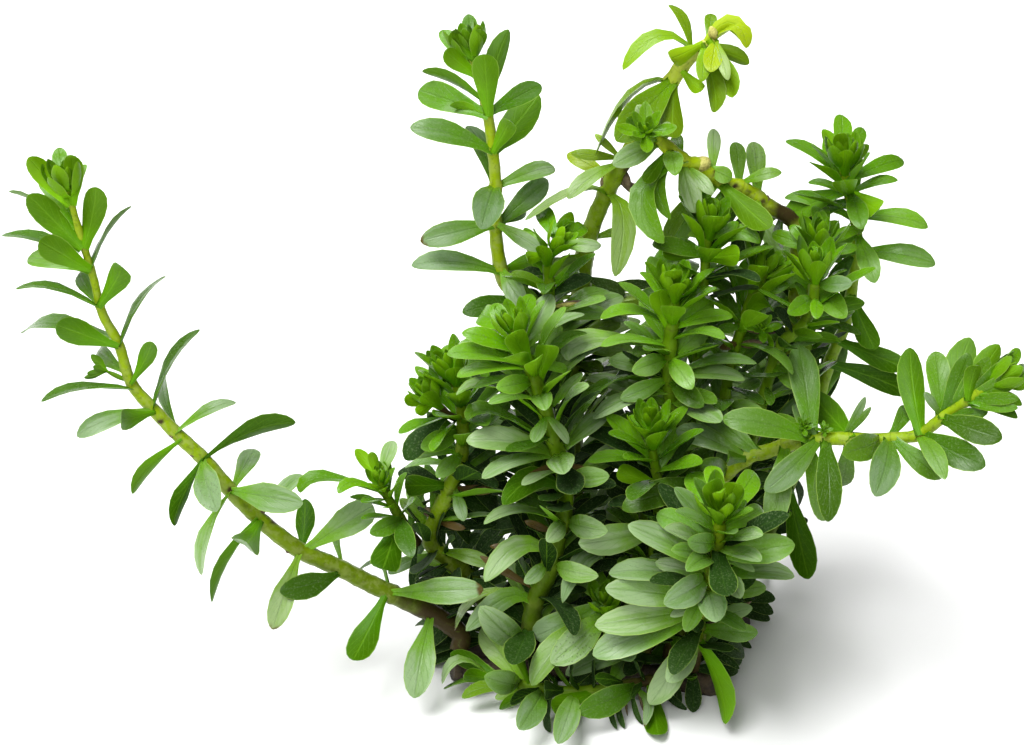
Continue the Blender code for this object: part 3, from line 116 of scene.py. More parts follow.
# Each shoot: foot (x, y, z), stem points (across, up, back), diameters at foot and tip, leaves
SHOOTS = {}
SHOOTS["front_shoot"] = dict(
    foot=(20, -4.2, 5.1), diameters=(2.7, 2.2),
    stem=[
        (21.8, 8, -6.5), (21.7, 12.5, -9), (23, 17, -12), (24.5, 22, -15), (25.6, 26, -18), (26, 30, -20),
        (26.4, 34.5, -21),
    ],
    leaves=[
        (21, 12.7, 0.4, 4.3, 6.5, "Up"), (20.5, 16, 3.1, 17.6, 5.5, "Up"), (20, 18.3, 3.7, 21, 3.6, "Ufp"),
        (21.8, 22.3, 7.6, 30.2, 5, "Unp"), (27.3, 24.6, 41, 26.3, 5.5, "U"),
        (24, 20.3, 15.3, 14.6, 5.5, "Un"), (25.5, 17.5, 25.2, 10.8, 5.5, "Un"),
        (18.8, 8.7, 12, -5.9, 5.5, "Up"), (21.3, 7.3, 15.8, -1, 5, "Un"), (24, 27, 19.7, 27, 4, "Un"),
        (26.4, 33, 24.5, 39.3, 4, "Dn"), (26.4, 33, 29.5, 39, 4, "Dn"), (26.4, 33.5, 24, 42.5, 3.5, "Uf"),
        (26.2, 33, 19.8, 40.6, 4.5, "Uf"), (26.4, 33, 33, 40.8, 4.5, "Uf"),
        (26.4, 34.3, 26.2, 37, 2.5, "Dn"), (28.5, 29, 34.7, 33.6, 3.6, "U"),
        (20.8, 28, 13.3, 32.6, 4.5, "U"), (25.8, 19, 41, 20.3, 3.2, "Up"),
        (19.5, 13.3, 1.2, 10.2, 6, "Up"), (25, 14, 35.3, 18, 3.6, "Ufk"), (22, 21, 13, 22.7, 3, "Uf"),
        (23.3, 10, 33.6, 8.6, 4, "Uk"), (22.3, 7, 27.6, -9.7, 3.4, "Dk"), (23.5, 29.5, 21, 36, 3, "D"),
        (26.5, 31, 31.5, 35, 2, "E"),
    ],
)
SHOOTS["small_front_shoot"] = dict(
    foot=(11, 0.8, 5.1), diameters=(2.3, 1.7),
    stem=[
        (11.3, 15, 0), (13, 28, -1), (13.8, 36, -2), (13.6, 39, -2.5), (13, 42, -3), (12.4, 46, -3.3),
        (12, 51, -4),
    ],
    leaves=[
        (12, 50, 11, 55, 3.5, "Uf"), (12, 50, 12.1, 54, 2.8, "Dn"), (13, 49, 16.5, 53.4, 3, "U"),
        (12.2, 48.5, 7.6, 52, 1.8, "U"), (12.3, 38.7, 5.1, 41.2, 3.5, "D"),
        (14.6, 38.6, 19.6, 43.6, 3, "Uk"), (12.5, 41, 10, 44.2, 3, "Uf"),
        (13.8, 41.5, 17.5, 50, 3.3, "Uf"), (11.5, 29, -2.1, 26.3, 6, "Up"),
        (11, 23.3, -6.4, 15.2, 3.6, "Up", 2, 25.3), (10.5, 6, -4.9, 0.6, 4.2, "Up"),
    ],
)
SHOOTS["low_front_shoot"] = dict(
    foot=(3.6, -0.2, 5.1), diameters=(2.2, 1.6),
    stem=[
        (3.3, 9, -3), (3, 15.5, -5),
    ],
    leaves=[
        (1.6, 13.6, -7.6, 2.5, 6.3, "Unsp"), (1, 12, -12.2, -1.6, 4.4, "Uy"),
        (3, 15, -11.8, 7.5, 6, "Ufp"), (3, 15, 10, 21, 4, "U"), (3, 13, 9, 7, 4.5, "Un"),
        (3, 14.5, -3, 21, 3.6, "Uf"),
    ],
)
SHOOTS["creeping_shoot"] = dict(
    foot=(12, -5.2, 3.2), diameters=(2.2, 1.8),
    stem=[
        (8, -1.6, -8.2), (2, -2.6, -10.2), (-4, -3, -11.4), (-10, -2.4, -10), (-16, -1.2, -7),
        (-21, 0.8, -4.2),
    ],
    leaves=[
        (-21, -0.2, -29.3, -2.6, 0.9, "E"), (-21, 1, -30, -1.4, 1.6, "Up", -26, 3.6),
        (-20, 1, -27, 3.2, 2.5, "Dk"), (-14, 0.4, -20.7, -0.2, 5, "U"), (-15, -2, -25.8, -3.9, 1.5, "Ey"),
        (-9, -3.3, -14.2, -10.7, 5.3, "U"), (-9, -2, -18.4, -6.4, 2.6, "Dk"),
        (-3, -5.5, -6.4, -13.4, 4.8, "U"), (-0.5, -1, -7.7, -7.3, 4.4, "Dk"),
        (9, -2.5, -2, -7.3, 5.6, "Uk"), (9.3, -1, 10.6, -9.5, 2.2, "Ub", 11.8, -5.5),
        (-13.8, -1.5, -21.8, 9.8, 5, "Uy"), (-19, 2, -28, 4.8, 3.5, "Dk"), (-18, 1, -25.5, 0.2, 3, "Dk"),
        (4, -2, 7, 3.5, 4, "Uf"), (-3, -2.5, -1, 4, 4, "Uf"), (12, -2, 13.7, -12.3, 4.6, "Dk"),
        (-12, -2.5, -19, -4.5, 2, "Uy"),
    ],
)
SHOOTS["centre_left_shoot"] = dict(
    foot=(-12.5, 1.6, 5.1), diameters=(3.4, 2),
    stem=[
        (-12, 9, 0), (-11, 15, 0), (-8.6, 20, -0.5), (-7.2, 25, -0.5), (-6, 29, -1), (-5, 34, -1),
        (-5, 40, -1.5), (-6.8, 46, -2), (-8.6, 52, -2.5), (-10.3, 57.5, -3), (-12, 62, -3.5),
        (-14, 66, -4), (-15.6, 70.5, -4),
    ],
    leaves=[
        (-14, 62, -15.4, 68.9, 4.4, "Dn"), (-11.5, 60.3, -8.2, 66.2, 4.3, "Dn"),
        (-11.3, 57.3, -9, 53.6, 4, "Un"), (-11, 65.5, -7.6, 76.5, 4, "Ufp"),
        (-14, 69, -11.6, 76.5, 3, "Uf"), (-15.3, 69.5, -16.4, 74.8, 2.4, "Uf"),
        (-15.3, 69.5, -19.5, 74.4, 3, "U"), (-16, 68, -22.2, 72.6, 4.5, "Uf"),
        (-9.3, 66, -1.2, 72.5, 2.5, "Up"), (-16.5, 64, -25.6, 68.9, 3.3, "U"),
        (-14, 61, -28.6, 64.4, 3, "U"), (-14, 66, -26.3, 66.9, 2.5, "Uf"),
        (-13.3, 60.3, -26.6, 60.2, 1.8, "U", -20, 61.8), (-12, 58.5, -18.7, 57.6, 3.6, "Un"),
        (-10, 52.8, -26.8, 56.3, 1.8, "U", -19, 58.3), (-9, 46.8, -24.8, 51.6, 1.6, "E", -19, 53),
        (-8.2, 43.8, -24.8, 47.4, 4.2, "Up"), (-7.2, 56.5, 2.3, 66.3, 3, "Up"),
        (-7.5, 64.5, -4, 61, 2, "Un"), (-4.5, 46.3, 3.6, 52.8, 3.3, "U"), (-6.3, 53, -4.2, 46.5, 2, "Up"),
        (-6.8, 37, -17.5, 34.3, 5, "Dk", -11, 39.8), (-7.5, 32.4, -21.3, 30.5, 2.2, "Up", -14, 33.4),
        (-4.4, 31, -8.6, 27, 3.5, "Un"), (-8, 25.3, -21, 18.9, 4.6, "Up", -14.5, 26.2),
        (-9, 23.5, -13, 18.7, 3, "Unp"), (-3, 38, 10, 46.8, 4, "Up"),
        (-11.5, 15, -24.7, 9, 4.5, "Up", -17, 15.8), (-8.5, 43, -21.8, 39.9, 2.3, "Up"),
        (-6, 38.5, -16.8, 36.8, 2.5, "Up"), (-12.3, 6, -21.7, 13.3, 6, "Unp"),
        (-12.3, 6, -6.3, 15, 4.8, "U"), (-12.3, 5.5, -21.5, 5.8, 4.2, "Uk"),
        (-12, 16, -27.3, 9.2, 1.8, "Uyb", -21.5, 16.6), (-5, 40, 3.5, 40, 4, "U"),
        (-5.5, 31, 3, 29, 4.5, "U"), (-8, 22, 1, 20, 4, "U"),
    ],
)
SHOOTS["centre_shoot"] = dict(
    foot=(7, 8.2, 5.1), diameters=(3, 2.2),
    stem=[
        (10, 25, 8), (12, 35, 8), (15, 47, 7.5), (16.3, 53, 7.5), (15.8, 60, 7), (16, 66, 7),
        (16.8, 75, 6.5), (17.3, 78.7, 6),
    ],
    leaves=[
        (16, 69.5, 13.6, 77.5, 4, "Dn"), (17, 77, 16.8, 81.2, 3.5, "Dn"), (17.3, 76.5, 19.8, 84, 5, "Ufp"),
        (16.2, 73, 12, 84, 4, "Dp"), (17, 77, 16.2, 83.6, 3, "Uf"), (16.5, 73.5, 10.2, 81.3, 2.3, "U"),
        (16.7, 74.5, 21.5, 78, 1.2, "E"), (17, 72.5, 26, 77.9, 2, "U"), (16.8, 70.5, 24.8, 75, 4, "Uf"),
        (16.5, 69.3, 28.6, 72.2, 2.8, "U"), (16.3, 64, 23.6, 70.5, 4.5, "Uf"),
        (15.8, 71, 2, 71.8, 2.3, "U", 9, 73.3), (15.5, 66, 10.3, 70.6, 5, "Uf"),
        (15.5, 64.5, 8.5, 61, 4, "Un"), (15.7, 66.3, -4.5, 63.3, 3.5, "Up", 1, 67.3),
        (16.2, 62.6, 20.3, 57.7, 4, "Un"), (16.2, 60.5, 31, 59.4, 2.8, "U"), (16.2, 59, 22.5, 54, 4, "Uk"),
        (15.5, 59, 6.2, 55.4, 3.5, "U"), (15.5, 58, -5.3, 47.5, 1.3, "E", 4, 59.3),
        (15.5, 56, 0.4, 51.8, 3, "Up"), (14, 44, 23, 49, 4, "U"), (13, 40, 5, 46, 4, "Uf"),
        (12, 35, 20, 31, 4.5, "U"), (11, 30, 2.5, 34, 4, "Uf"), (10.5, 27, 20, 24, 4.5, "U"),
    ],
)
SHOOTS["left_shoot"] = dict(
    foot=(-19.8, 6.2, 5.1), diameters=(4.2, 2),
    stem=[
        (-20.5, 14, 10), (-25.5, 21, 11), (-31.8, 26.5, 8.5), (-31.2, 31, 8), (-29.3, 35, 8),
        (-27.5, 39, 8), (-26, 42, 8), (-25.6, 46, 8), (-25.5, 50, 8), (-26, 55, 8), (-27, 59, 8),
        (-28.3, 62, 8),
    ],
    leaves=[
        (-27, 56, -31, 65.3, 3, "Dn"), (-27, 59, -24.3, 65.3, 2.4, "D"), (-28, 61, -28.5, 66.5, 3, "Uf"),
        (-27.5, 59.5, -23.5, 59.5, 1.6, "U"), (-25.5, 49, -33, 51.6, 3, "Dnk"),
        (-26, 48, -33.7, 45.6, 4, "U"), (-25.5, 50, -15.7, 54.8, 3, "Uf"),
        (-26, 46, -36.4, 48.2, 1.4, "E"), (-26, 44.4, -36.5, 44, 2.3, "U"),
        (-26, 44.5, -30.6, 40, 3.3, "Un"), (-26.4, 41.5, -37.2, 42, 1.6, "Uf"),
        (-27.8, 39, -37.4, 38, 4.2, "Dk"), (-28.5, 37, -25.2, 31, 2.6, "Up"),
        (-29, 34.5, -20.5, 38, 4, "U"), (-26.5, 41.5, -19, 46, 3.4, "Uf"),
        (-31.5, 25.5, -19.5, 22.2, 2.8, "Uny"), (-26.5, 22, -36.5, 24.6, 2.2, "Uy"),
        (-24, 20, -29.5, 14.5, 3, "Dks"), (-29.5, 25, -40.5, 20.6, 2.4, "U"),
    ],
)
SHOOTS["left_side_shoot"] = dict(
    fork=(-26.9, 51.6, 6.4), diameters=(1.6, 1.3),
    stem=[
        (-28.6, 52.4, 5.6), (-30, 54, 5.2), (-32.3, 57, 5),
    ],
    leaves=[
        (-32.3, 56.4, -32.2, 60.4, 2.6, "D"), (-32, 56, -35.2, 57.6, 1.8, "U"),
        (-31, 54.5, -37.5, 55.3, 2.5, "D"), (-30, 54.5, -34.8, 52.6, 2.2, "Dn"),
        (-30.5, 55, -29.9, 60.5, 2.5, "Uf"),
    ],
)
SHOOTS["left_low_shoot"] = dict(
    fork=(-34.6, 26.6, 7), diameters=(2.2, 1.5),
    stem=[
        (-36.3, 29, 6), (-38, 31.7, 5), (-40, 35, 4), (-41.7, 38, 3), (-42.3, 40.5, 2.5),
    ],
    leaves=[
        (-42.6, 39.5, -46.9, 45.4, 2.6, "D"), (-42.3, 39.8, -43.8, 45, 2, "Dn"),
        (-41.8, 39.5, -39.3, 47.2, 3, "Ufp"), (-42, 36.7, -50.3, 36.6, 1.8, "Un", -47, 38.9),
        (-41.4, 37, -58.3, 36.9, 1.3, "E", -53, 39.8), (-39.3, 31.3, -43.9, 28.6, 3.6, "Un"),
        (-38.7, 33.5, -37, 41, 1.8, "Uf"), (-38.4, 31, -41.8, 20.5, 6, "Dnk"),
    ],
)
SHOOTS["small_left_shoot"] = dict(
    foot=(-6.4, 16.4, 5.1), diameters=(2.4, 1.6),
    stem=[
        (-8, 35, 14.5), (-9, 45, 14), (-8.3, 65, 14), (-8, 75, 14), (-8.3, 83.5, 14), (-5.4, 87.4, 14),
    ],
    leaves=[
        (-6, 86.6, -9.8, 93.6, 3.5, "Uf"), (-5.4, 87, -3.9, 92.5, 3.5, "D"),
        (-5.4, 87, -0.8, 90.4, 3, "Uf"), (-6.2, 86, 2.3, 86, 2.6, "Unp"),
        (-8, 84.6, -13.3, 88.8, 2.2, "U"), (-8.3, 83.5, -13, 83.6, 2.5, "Dn"),
        (-8, 78.5, -15.8, 80.6, 2.4, "Uy"), (-7.6, 78, -2, 81.5, 3, "U"), (-8, 73, 4, 77.5, 3, "Uf"),
        (-8, 71, 3.6, 72.6, 3, "U"), (-8.4, 66, -15, 62, 4, "Un"),
    ],
)
SHOOTS["back_left_shoot"] = dict(
    foot=(-9.2, 12, 5.1), diameters=(3.2, 1.7),
    stem=[
        (-10.6, 30, 16), (-11.5, 50, 17), (-14.3, 74, 17), (-17.2, 79, 18), (-18.6, 86, 19),
        (-18.9, 92, 20), (-18.8, 97, 21), (-19.4, 105, 22), (-21, 115, 23), (-24.3, 126.5, 25),
    ],
    leaves=[
        (-19, 97.3, -21.7, 89.6, 6, "Un"), (-19.3, 104.4, -10.3, 116.3, 6, "D"),
        (-19.6, 105, -36, 110, 4.3, "U"), (-19, 98, -6.6, 102, 3.6, "Uf"),
        (-19, 98.5, -24.4, 110.6, 3.6, "Uf"), (-19.7, 106, -15.8, 111.5, 3.5, "Dn"),
        (-19, 91.3, -8.3, 99.3, 4.5, "Uf"), (-18.8, 89, -34, 87, 4.7, "Ub"),
        (-18.7, 89.3, -9.6, 85, 3, "U"), (-18.9, 91, -12.6, 93.4, 3, "Uf"),
        (-18, 81.6, -35.8, 82.6, 4.2, "U"), (-17.8, 81.7, -9, 84.5, 2.8, "Df"),
        (-17.5, 80.2, -13.3, 74, 4, "Un"), (-15.5, 75.8, -25.5, 72.8, 4, "Uk"),
        (-20.9, 114.3, -21.2, 124.5, 5, "Dn"), (-21, 115, -16.6, 129.4, 4, "Dfp"),
        (-21.4, 114.8, -33.5, 121.3, 1.9, "D"), (-21, 113.5, -34.4, 117.3, 5.5, "U"),
        (-20.6, 111, -28, 114.3, 1.8, "D"), (-20.4, 111, -9.7, 118.3, 4, "U"),
        (-24, 124, -24.4, 132.4, 3, "Uf"), (-23.3, 121, -30, 129.4, 3.5, "Uf"),
        (-23.2, 119.5, -29.2, 125.2, 3.5, "Dn"), (-23.6, 123, -28, 129, 3, "Dn"),
        (-24, 124, -21.9, 129.4, 3, "Dn"),
    ],
)
SHOOTS["right_inner_shoot"] = dict(
    foot=(17, 11, 5.1), diameters=(3, 2),
    stem=[
        (20, 25, 12), (25, 45, 12), (28, 62, 13), (29.5, 67, 13), (31, 72, 13), (32.5, 76, 13.5),
        (35.6, 81.3, 14),
    ],
    leaves=[
        (33, 75.5, 34.2, 82.5, 3.8, "Dn"), (35.2, 80, 38, 84.9, 3.3, "Uf"), (35, 80, 32.6, 84.8, 2, "D"),
        (33, 77, 31, 84.5, 1.6, "E"), (35, 80, 40, 81.8, 1.8, "D"), (33, 76.5, 39.8, 78.4, 2, "U"),
        (31, 71, 37, 73.2, 3.5, "Dn", 33.5, 75), (30.6, 70.6, 25.7, 75.2, 2, "D"),
        (30, 69, 25.3, 69.2, 2, "U"), (29, 64, 36, 67, 4, "U"), (28.5, 62, 22, 65, 4, "Uf"),
        (27, 55, 35, 52, 4.5, "U"), (26, 50, 19, 47, 4.5, "Un"), (23, 38, 30, 33, 4.5, "U"),
    ],
)
SHOOTS["right_mid_shoot"] = dict(
    foot=(23.4, 11.4, 5.1), diameters=(3.2, 2),
    stem=[
        (28, 30, 11), (33, 50, 12), (37.5, 65, 12), (40, 68, 12), (43, 71, 12), (44.5, 75, 12),
        (45, 79, 12), (45, 82.7, 12),
    ],
    leaves=[
        (45, 78, 47.2, 86.2, 3.5, "Dp"), (45, 81.5, 42.8, 85.8, 1.8, "D"),
        (45, 81.5, 45.2, 86.4, 2.5, "Uf"), (44.5, 78.5, 39.5, 84.4, 2.5, "D"),
        (45, 77.8, 52.4, 78.6, 3.2, "Up"), (44.2, 75.3, 39.6, 72.6, 3.5, "Un"),
        (43.5, 73, 41.2, 79, 1.8, "E"), (44.6, 76.5, 45.2, 71.5, 2.6, "Un"),
        (43.5, 71.4, 55, 74.8, 3, "Dk"), (40, 68, 50.3, 67, 2.2, "Dk"), (36.5, 62, 44, 58, 4.5, "U"),
        (34, 53, 42, 50, 4.5, "Un"), (33, 50, 25.5, 54, 4.5, "Uf"),
    ],
)
SHOOTS["right_upper_shoot"] = dict(
    foot=(28.4, 15.6, 5.1), diameters=(3, 1.9),
    stem=[
        (34, 30, 18), (39.5, 45, 19), (42.5, 60, 19.5), (44.2, 75, 20), (45.5, 83, 20), (46.2, 88.3, 20),
    ],
    leaves=[
        (46, 87, 45.8, 94.4, 3.8, "Uf"), (46, 87, 42, 92, 2.6, "D"), (45.6, 85.4, 40, 90.3, 2.4, "U"),
        (45.4, 84, 36.2, 88.6, 3, "U"), (46, 87, 49.6, 91, 4, "D"), (45.8, 86, 54, 89.6, 2.3, "U"),
        (45.5, 84, 53.6, 85.8, 2.2, "U"), (46, 86, 47.4, 90, 3, "Dn"), (44.8, 79, 37.5, 81, 4, "Uf"),
        (44.3, 76, 51, 72, 4.5, "Un"),
    ],
)
SHOOTS["centre_back_shoot"] = dict(
    foot=(12.8, 13.4, 5.1), diameters=(2.8, 1.8),
    stem=[
        (16, 30, 14), (20, 50, 14), (22, 70, 13.5), (23, 81, 13), (23.3, 86, 13), (24.3, 91.7, 13),
    ],
    leaves=[
        (24, 90, 22, 95, 2.6, "Uf"), (24.2, 90.6, 24.6, 96, 2.8, "Uf"), (24.2, 90, 28.2, 94.6, 2.6, "Uf"),
        (23.6, 87.6, 18.2, 92.4, 4, "D"), (24, 89, 29.8, 90.8, 2, "U"), (24, 86.5, 25, 92, 4, "Dn"),
        (23.5, 84.5, 34, 86.6, 3, "U", 29, 88.8), (23.4, 84, 30, 84.4, 4, "Dn"),
        (23.2, 84.7, 16.6, 87.6, 1.4, "E"), (23, 82.4, 14.2, 84.6, 2.5, "D"), (22.6, 77, 15, 75, 4, "Un"),
    ],
)
SHOOTS["back_right_shoot"] = dict(
    foot=(27.6, 24.4, 5.1), diameters=(3.2, 2),
    stem=[
        (33, 24, 26), (38.8, 36, 26.5), (43.5, 48, 27), (47.5, 61.5, 27), (49.2, 66, 27), (51, 70, 27),
        (52, 75, 27), (53, 82, 27), (53.3, 88, 27.5), (53, 92, 28), (52, 96, 28), (51, 99.5, 28),
        (50.8, 104.5, 28),
    ],
    leaves=[
        (52.4, 96.6, 57.8, 93, 5, "Dn"), (52.8, 95, 54.3, 89.6, 4, "Un"), (53.3, 88, 57, 78.7, 4.2, "Un"),
        (51, 99, 46.6, 109.4, 2.5, "D"), (50.8, 103, 50.3, 112.4, 3.8, "Uf"),
        (51, 98.5, 39.2, 107.4, 3, "U"), (51.6, 97, 43.6, 99, 1.8, "U"),
        (51.6, 99.5, 63.1, 103.3, 3.3, "U"), (52, 97.6, 61.6, 99.4, 2.3, "Un"),
        (50.8, 103, 50, 109, 3, "Dn"), (50.8, 102, 54.8, 110, 3, "Uf"), (51, 101, 55.8, 106.2, 2.5, "D"),
        (52.9, 92, 38.8, 96.4, 3.5, "Uf"), (53, 91.4, 67.9, 90.2, 3.6, "U"),
        (53.3, 86, 69.4, 82.7, 4.3, "U"), (53, 84, 45, 81, 1.8, "U"), (53.2, 87.7, 47.6, 84.4, 2.2, "U"),
        (52, 75.6, 57, 65.3, 4.5, "Dk"), (52, 75.5, 44.6, 70.8, 3, "Dk"),
        (49.6, 67, 63.5, 61.6, 4.5, "Dk"), (48, 62.3, 64, 56.6, 4.5, "Dk"), (39.5, 38, 44, 19, 5.6, "Dk"),
    ],
)
SHOOTS["arched_shoot"] = dict(
    foot=(21.6, 18.8, 5.1), diameters=(3.2, 1.8),
    stem=[
        (28, 28, 22), (34, 42, 24), (39, 60, 24), (41.2, 75, 24), (41.5, 88, 24), (40, 91.5, 24),
        (36.5, 93.5, 23.5), (33, 96, 23), (30, 97.8, 22.5), (27, 98.5, 22), (24, 100.3, 21),
        (21.5, 102.4, 20.5), (19.5, 102.7, 20), (17, 104.5, 19.5), (15, 106.2, 19), (10.8, 109.5, 18),
    ],
    leaves=[
        (13, 107.5, 10, 114.2, 4.5, "Uf"), (11.2, 109, 5.8, 112.6, 3.5, "D"),
        (12, 108.6, 16.2, 111.4, 2.4, "Uf"), (13.4, 106.5, 4.7, 102.3, 4.2, "Up"),
        (14, 106.6, 7.6, 107.4, 1.4, "E"), (15.4, 105.5, 17, 100.6, 3.7, "Un"),
        (16, 105, 10.8, 98.4, 2.8, "Dk"), (18.4, 103.4, 17, 108.3, 2.4, "Uf"),
        (19.5, 102.5, 15.8, 91.3, 3, "U", 13.6, 99.2), (17.5, 104, 14.6, 86.6, 4.5, "Un", 10.4, 97),
        (24.3, 100.4, 24.8, 109.7, 2.7, "Ufp"), (25.5, 99.4, 18.5, 94.5, 3, "Un", 21, 99),
        (26, 98.8, 36, 89.5, 5, "Dk"), (29.5, 98.4, 29.2, 107.2, 3.2, "Ufb"),
        (31, 97.6, 38.4, 101, 2.4, "U"), (33.3, 96.2, 32.8, 107.4, 3.8, "Ufs"),
        (34.5, 95.4, 31.6, 89.4, 3, "Unp"), (41.4, 84, 48, 80, 3, "Uf"),
    ],
)
SHOOTS["nodding_shoot"] = dict(
    foot=(-3, 24.4, 5.1), diameters=(3.5, 2.2),
    stem=[
        (-3.3, 40, 26), (-3.5, 60, 26), (-1.5, 80, 26), (-0.8, 86, 26), (1.2, 92, 26), (3.3, 96.5, 26.5),
        (5.5, 101, 26.5), (8.5, 106, 27), (12, 112, 27), (15, 117, 27), (17, 120, 27.5), (19.5, 123.3, 28),
        (22.5, 126, 28), (24.8, 127.4, 28),
    ],
    leaves=[
        (15.8, 118.8, 5.3, 107, 6.5, "U"), (15.6, 118, 0.6, 104, 1.8, "Ef", 8.2, 116.4),
        (17.3, 119.5, 16.3, 107.5, 4.6, "Dnk"), (20.5, 124.6, 6.4, 121.5, 3.2, "U", 14, 128.2),
        (21, 125, 16.1, 134.8, 2.2, "Ef"), (24, 127, 15.8, 123.2, 3.5, "Dnq"),
        (24.4, 127.2, 31.6, 126, 3.2, "Dy", 27.6, 131), (24, 126.6, 25.7, 112.3, 3.3, "Dk"),
        (24.6, 127, 32, 122.6, 2.5, "Dnk"), (24.6, 127, 29.3, 116, 3, "D"),
        (23.6, 126.6, 22.4, 119, 2.8, "Un"), (18, 121.4, 22.5, 117, 2.7, "D"),
        (24.4, 127.3, 24.2, 132.6, 2.4, "Ufb"), (6, 102.2, -4.5, 95.5, 3, "U"),
        (4.6, 99, -4.6, 104.6, 3.2, "Ufy"), (3, 96, -13.3, 91.8, 1.8, "U", -2, 97.4),
        (3.5, 97, 5.2, 80, 4.5, "Un", 6.6, 92), (-1, 84, -8, 80, 4, "Un"), (-0.6, 88, 7.3, 89, 2, "Uf"),
        (-1.6, 79, 5, 74, 4, "Uf"), (-2.6, 70, -10, 67, 4, "Uf"),
    ],
)

# The two long shoots, whose grown leaves are pieces of their own
LONG_SHOOTS = {}
LONG_SHOOTS["runner"] = dict(
    foot=(-26.2, -0.6, 6.8), diameters=(4, 1.7),
    stem=[
        (-26, 8.5, 1), (-31.6, 12.5, 1), (-35.1, 14.2, 1), (-40, 16.6, 0), (-45, 19, 0), (-49.6, 21.4, -1),
        (-54, 23.3, -2), (-57.8, 25, -2), (-62.3, 28.2, -2), (-66.4, 31.7, -2), (-71.8, 37, -1),
        (-77.2, 43.3, 0), (-82.2, 48, 1), (-87, 53, 2), (-91.8, 58.7, 3), (-94.2, 66.3, 4),
        (-97.5, 72.5, 4), (-99.4, 80, 4), (-102, 88.5, 5), (-104.9, 99, 5),
    ],
    leaves=[
        (-104, 94, -112.5, 104, 4, "Dn"), (-104, 94.6, -103.7, 104.5, 3.8, "Dn"),
        (-104.4, 96, -106.3, 106, 3, "Uf"), (-104, 95, -101, 102.6, 2.2, "Uf"),
        (-101, 85.5, -112.5, 96.3, 5, "Dn"), (-101, 85.5, -98.7, 98, 4.5, "Dn"),
        (-102, 87, -116, 97.2, 1.4, "Ef"), (-103, 90, -110, 99.6, 3, "Uf"),
        (-99.6, 80.5, -110.2, 87, 5, "Dn"), (-99.6, 80.5, -117.6, 88.4, 1.4, "E"),
        (-100, 82, -113, 83.6, 3.5, "Uf"), (-99.6, 82, -91.7, 94, 1.5, "E"),
        (-97.5, 73, -93.3, 82.4, 4.5, "Dn"), (-98, 74, -115, 78.2, 1.5, "E"),
        (-98, 75, -102.4, 81, 3, "Uf"), (-39.4, 17, -46.2, 20.6, 1.4, "Efp", -42, 23),
    ],
    separate_leaves=[
        (-94.2, 66.8, -106, 72, 5, "Dn"), (-94.8, 68, -114, 69.5, 3.5, "Uf"),
        (-94, 66, -85.1, 80.4, 1.6, "E"), (-92.4, 61, -98.6, 65.4, 3.5, "Ufs"),
        (-91.8, 59, -87.6, 67, 3.3, "Dn"), (-91.6, 58, -110, 55.3, 1.6, "E"),
        (-87, 54, -78.2, 69.5, 1.8, "E"), (-87, 53, -94.2, 51, 4, "Dn"), (-88, 53.8, -103, 48.3, 3.5, "U"),
        (-82.4, 48.6, -70.8, 55, 2.6, "U"), (-82.6, 49, -85.2, 61.5, 3, "Ufp"),
        (-82, 47.4, -92, 36.6, 2.5, "D"), (-76.8, 43.4, -58.9, 51.3, 2.8, "Dk"),
        (-77, 43, -74.7, 33, 5.4, "Uns"), (-77.6, 43, -83.7, 30, 3, "Dk"),
        (-71.4, 37, -57.5, 34.5, 5.6, "U"), (-71.8, 37.6, -67, 45.5, 4, "Uf"),
        (-72, 36.6, -77.8, 20.2, 2.7, "U"), (-66, 31, -69.4, 26, 6, "Dn"),
        (-66.8, 31.2, -75.8, 14.8, 2.3, "D"), (-66, 32, -57.4, 40.5, 3, "Uf"),
        (-57.4, 25.6, -57, 35.4, 4, "Dfk"), (-57.2, 25.4, -42.8, 34.3, 6, "U"),
        (-58.2, 24.6, -63.5, 9.3, 4.6, "Uyb"), (-49.4, 21.6, -50.6, 33.4, 2, "Uf"),
        (-49.6, 21, -62, 17, 5, "Uk"), (-40.2, 16.6, -21.3, 17.3, 5.4, "Unpb"),
        (-40.6, 16.2, -47.5, 2.7, 5.5, "Dk"), (-32, 12.4, -35.2, -4.4, 6, "Up"),
    ],
)
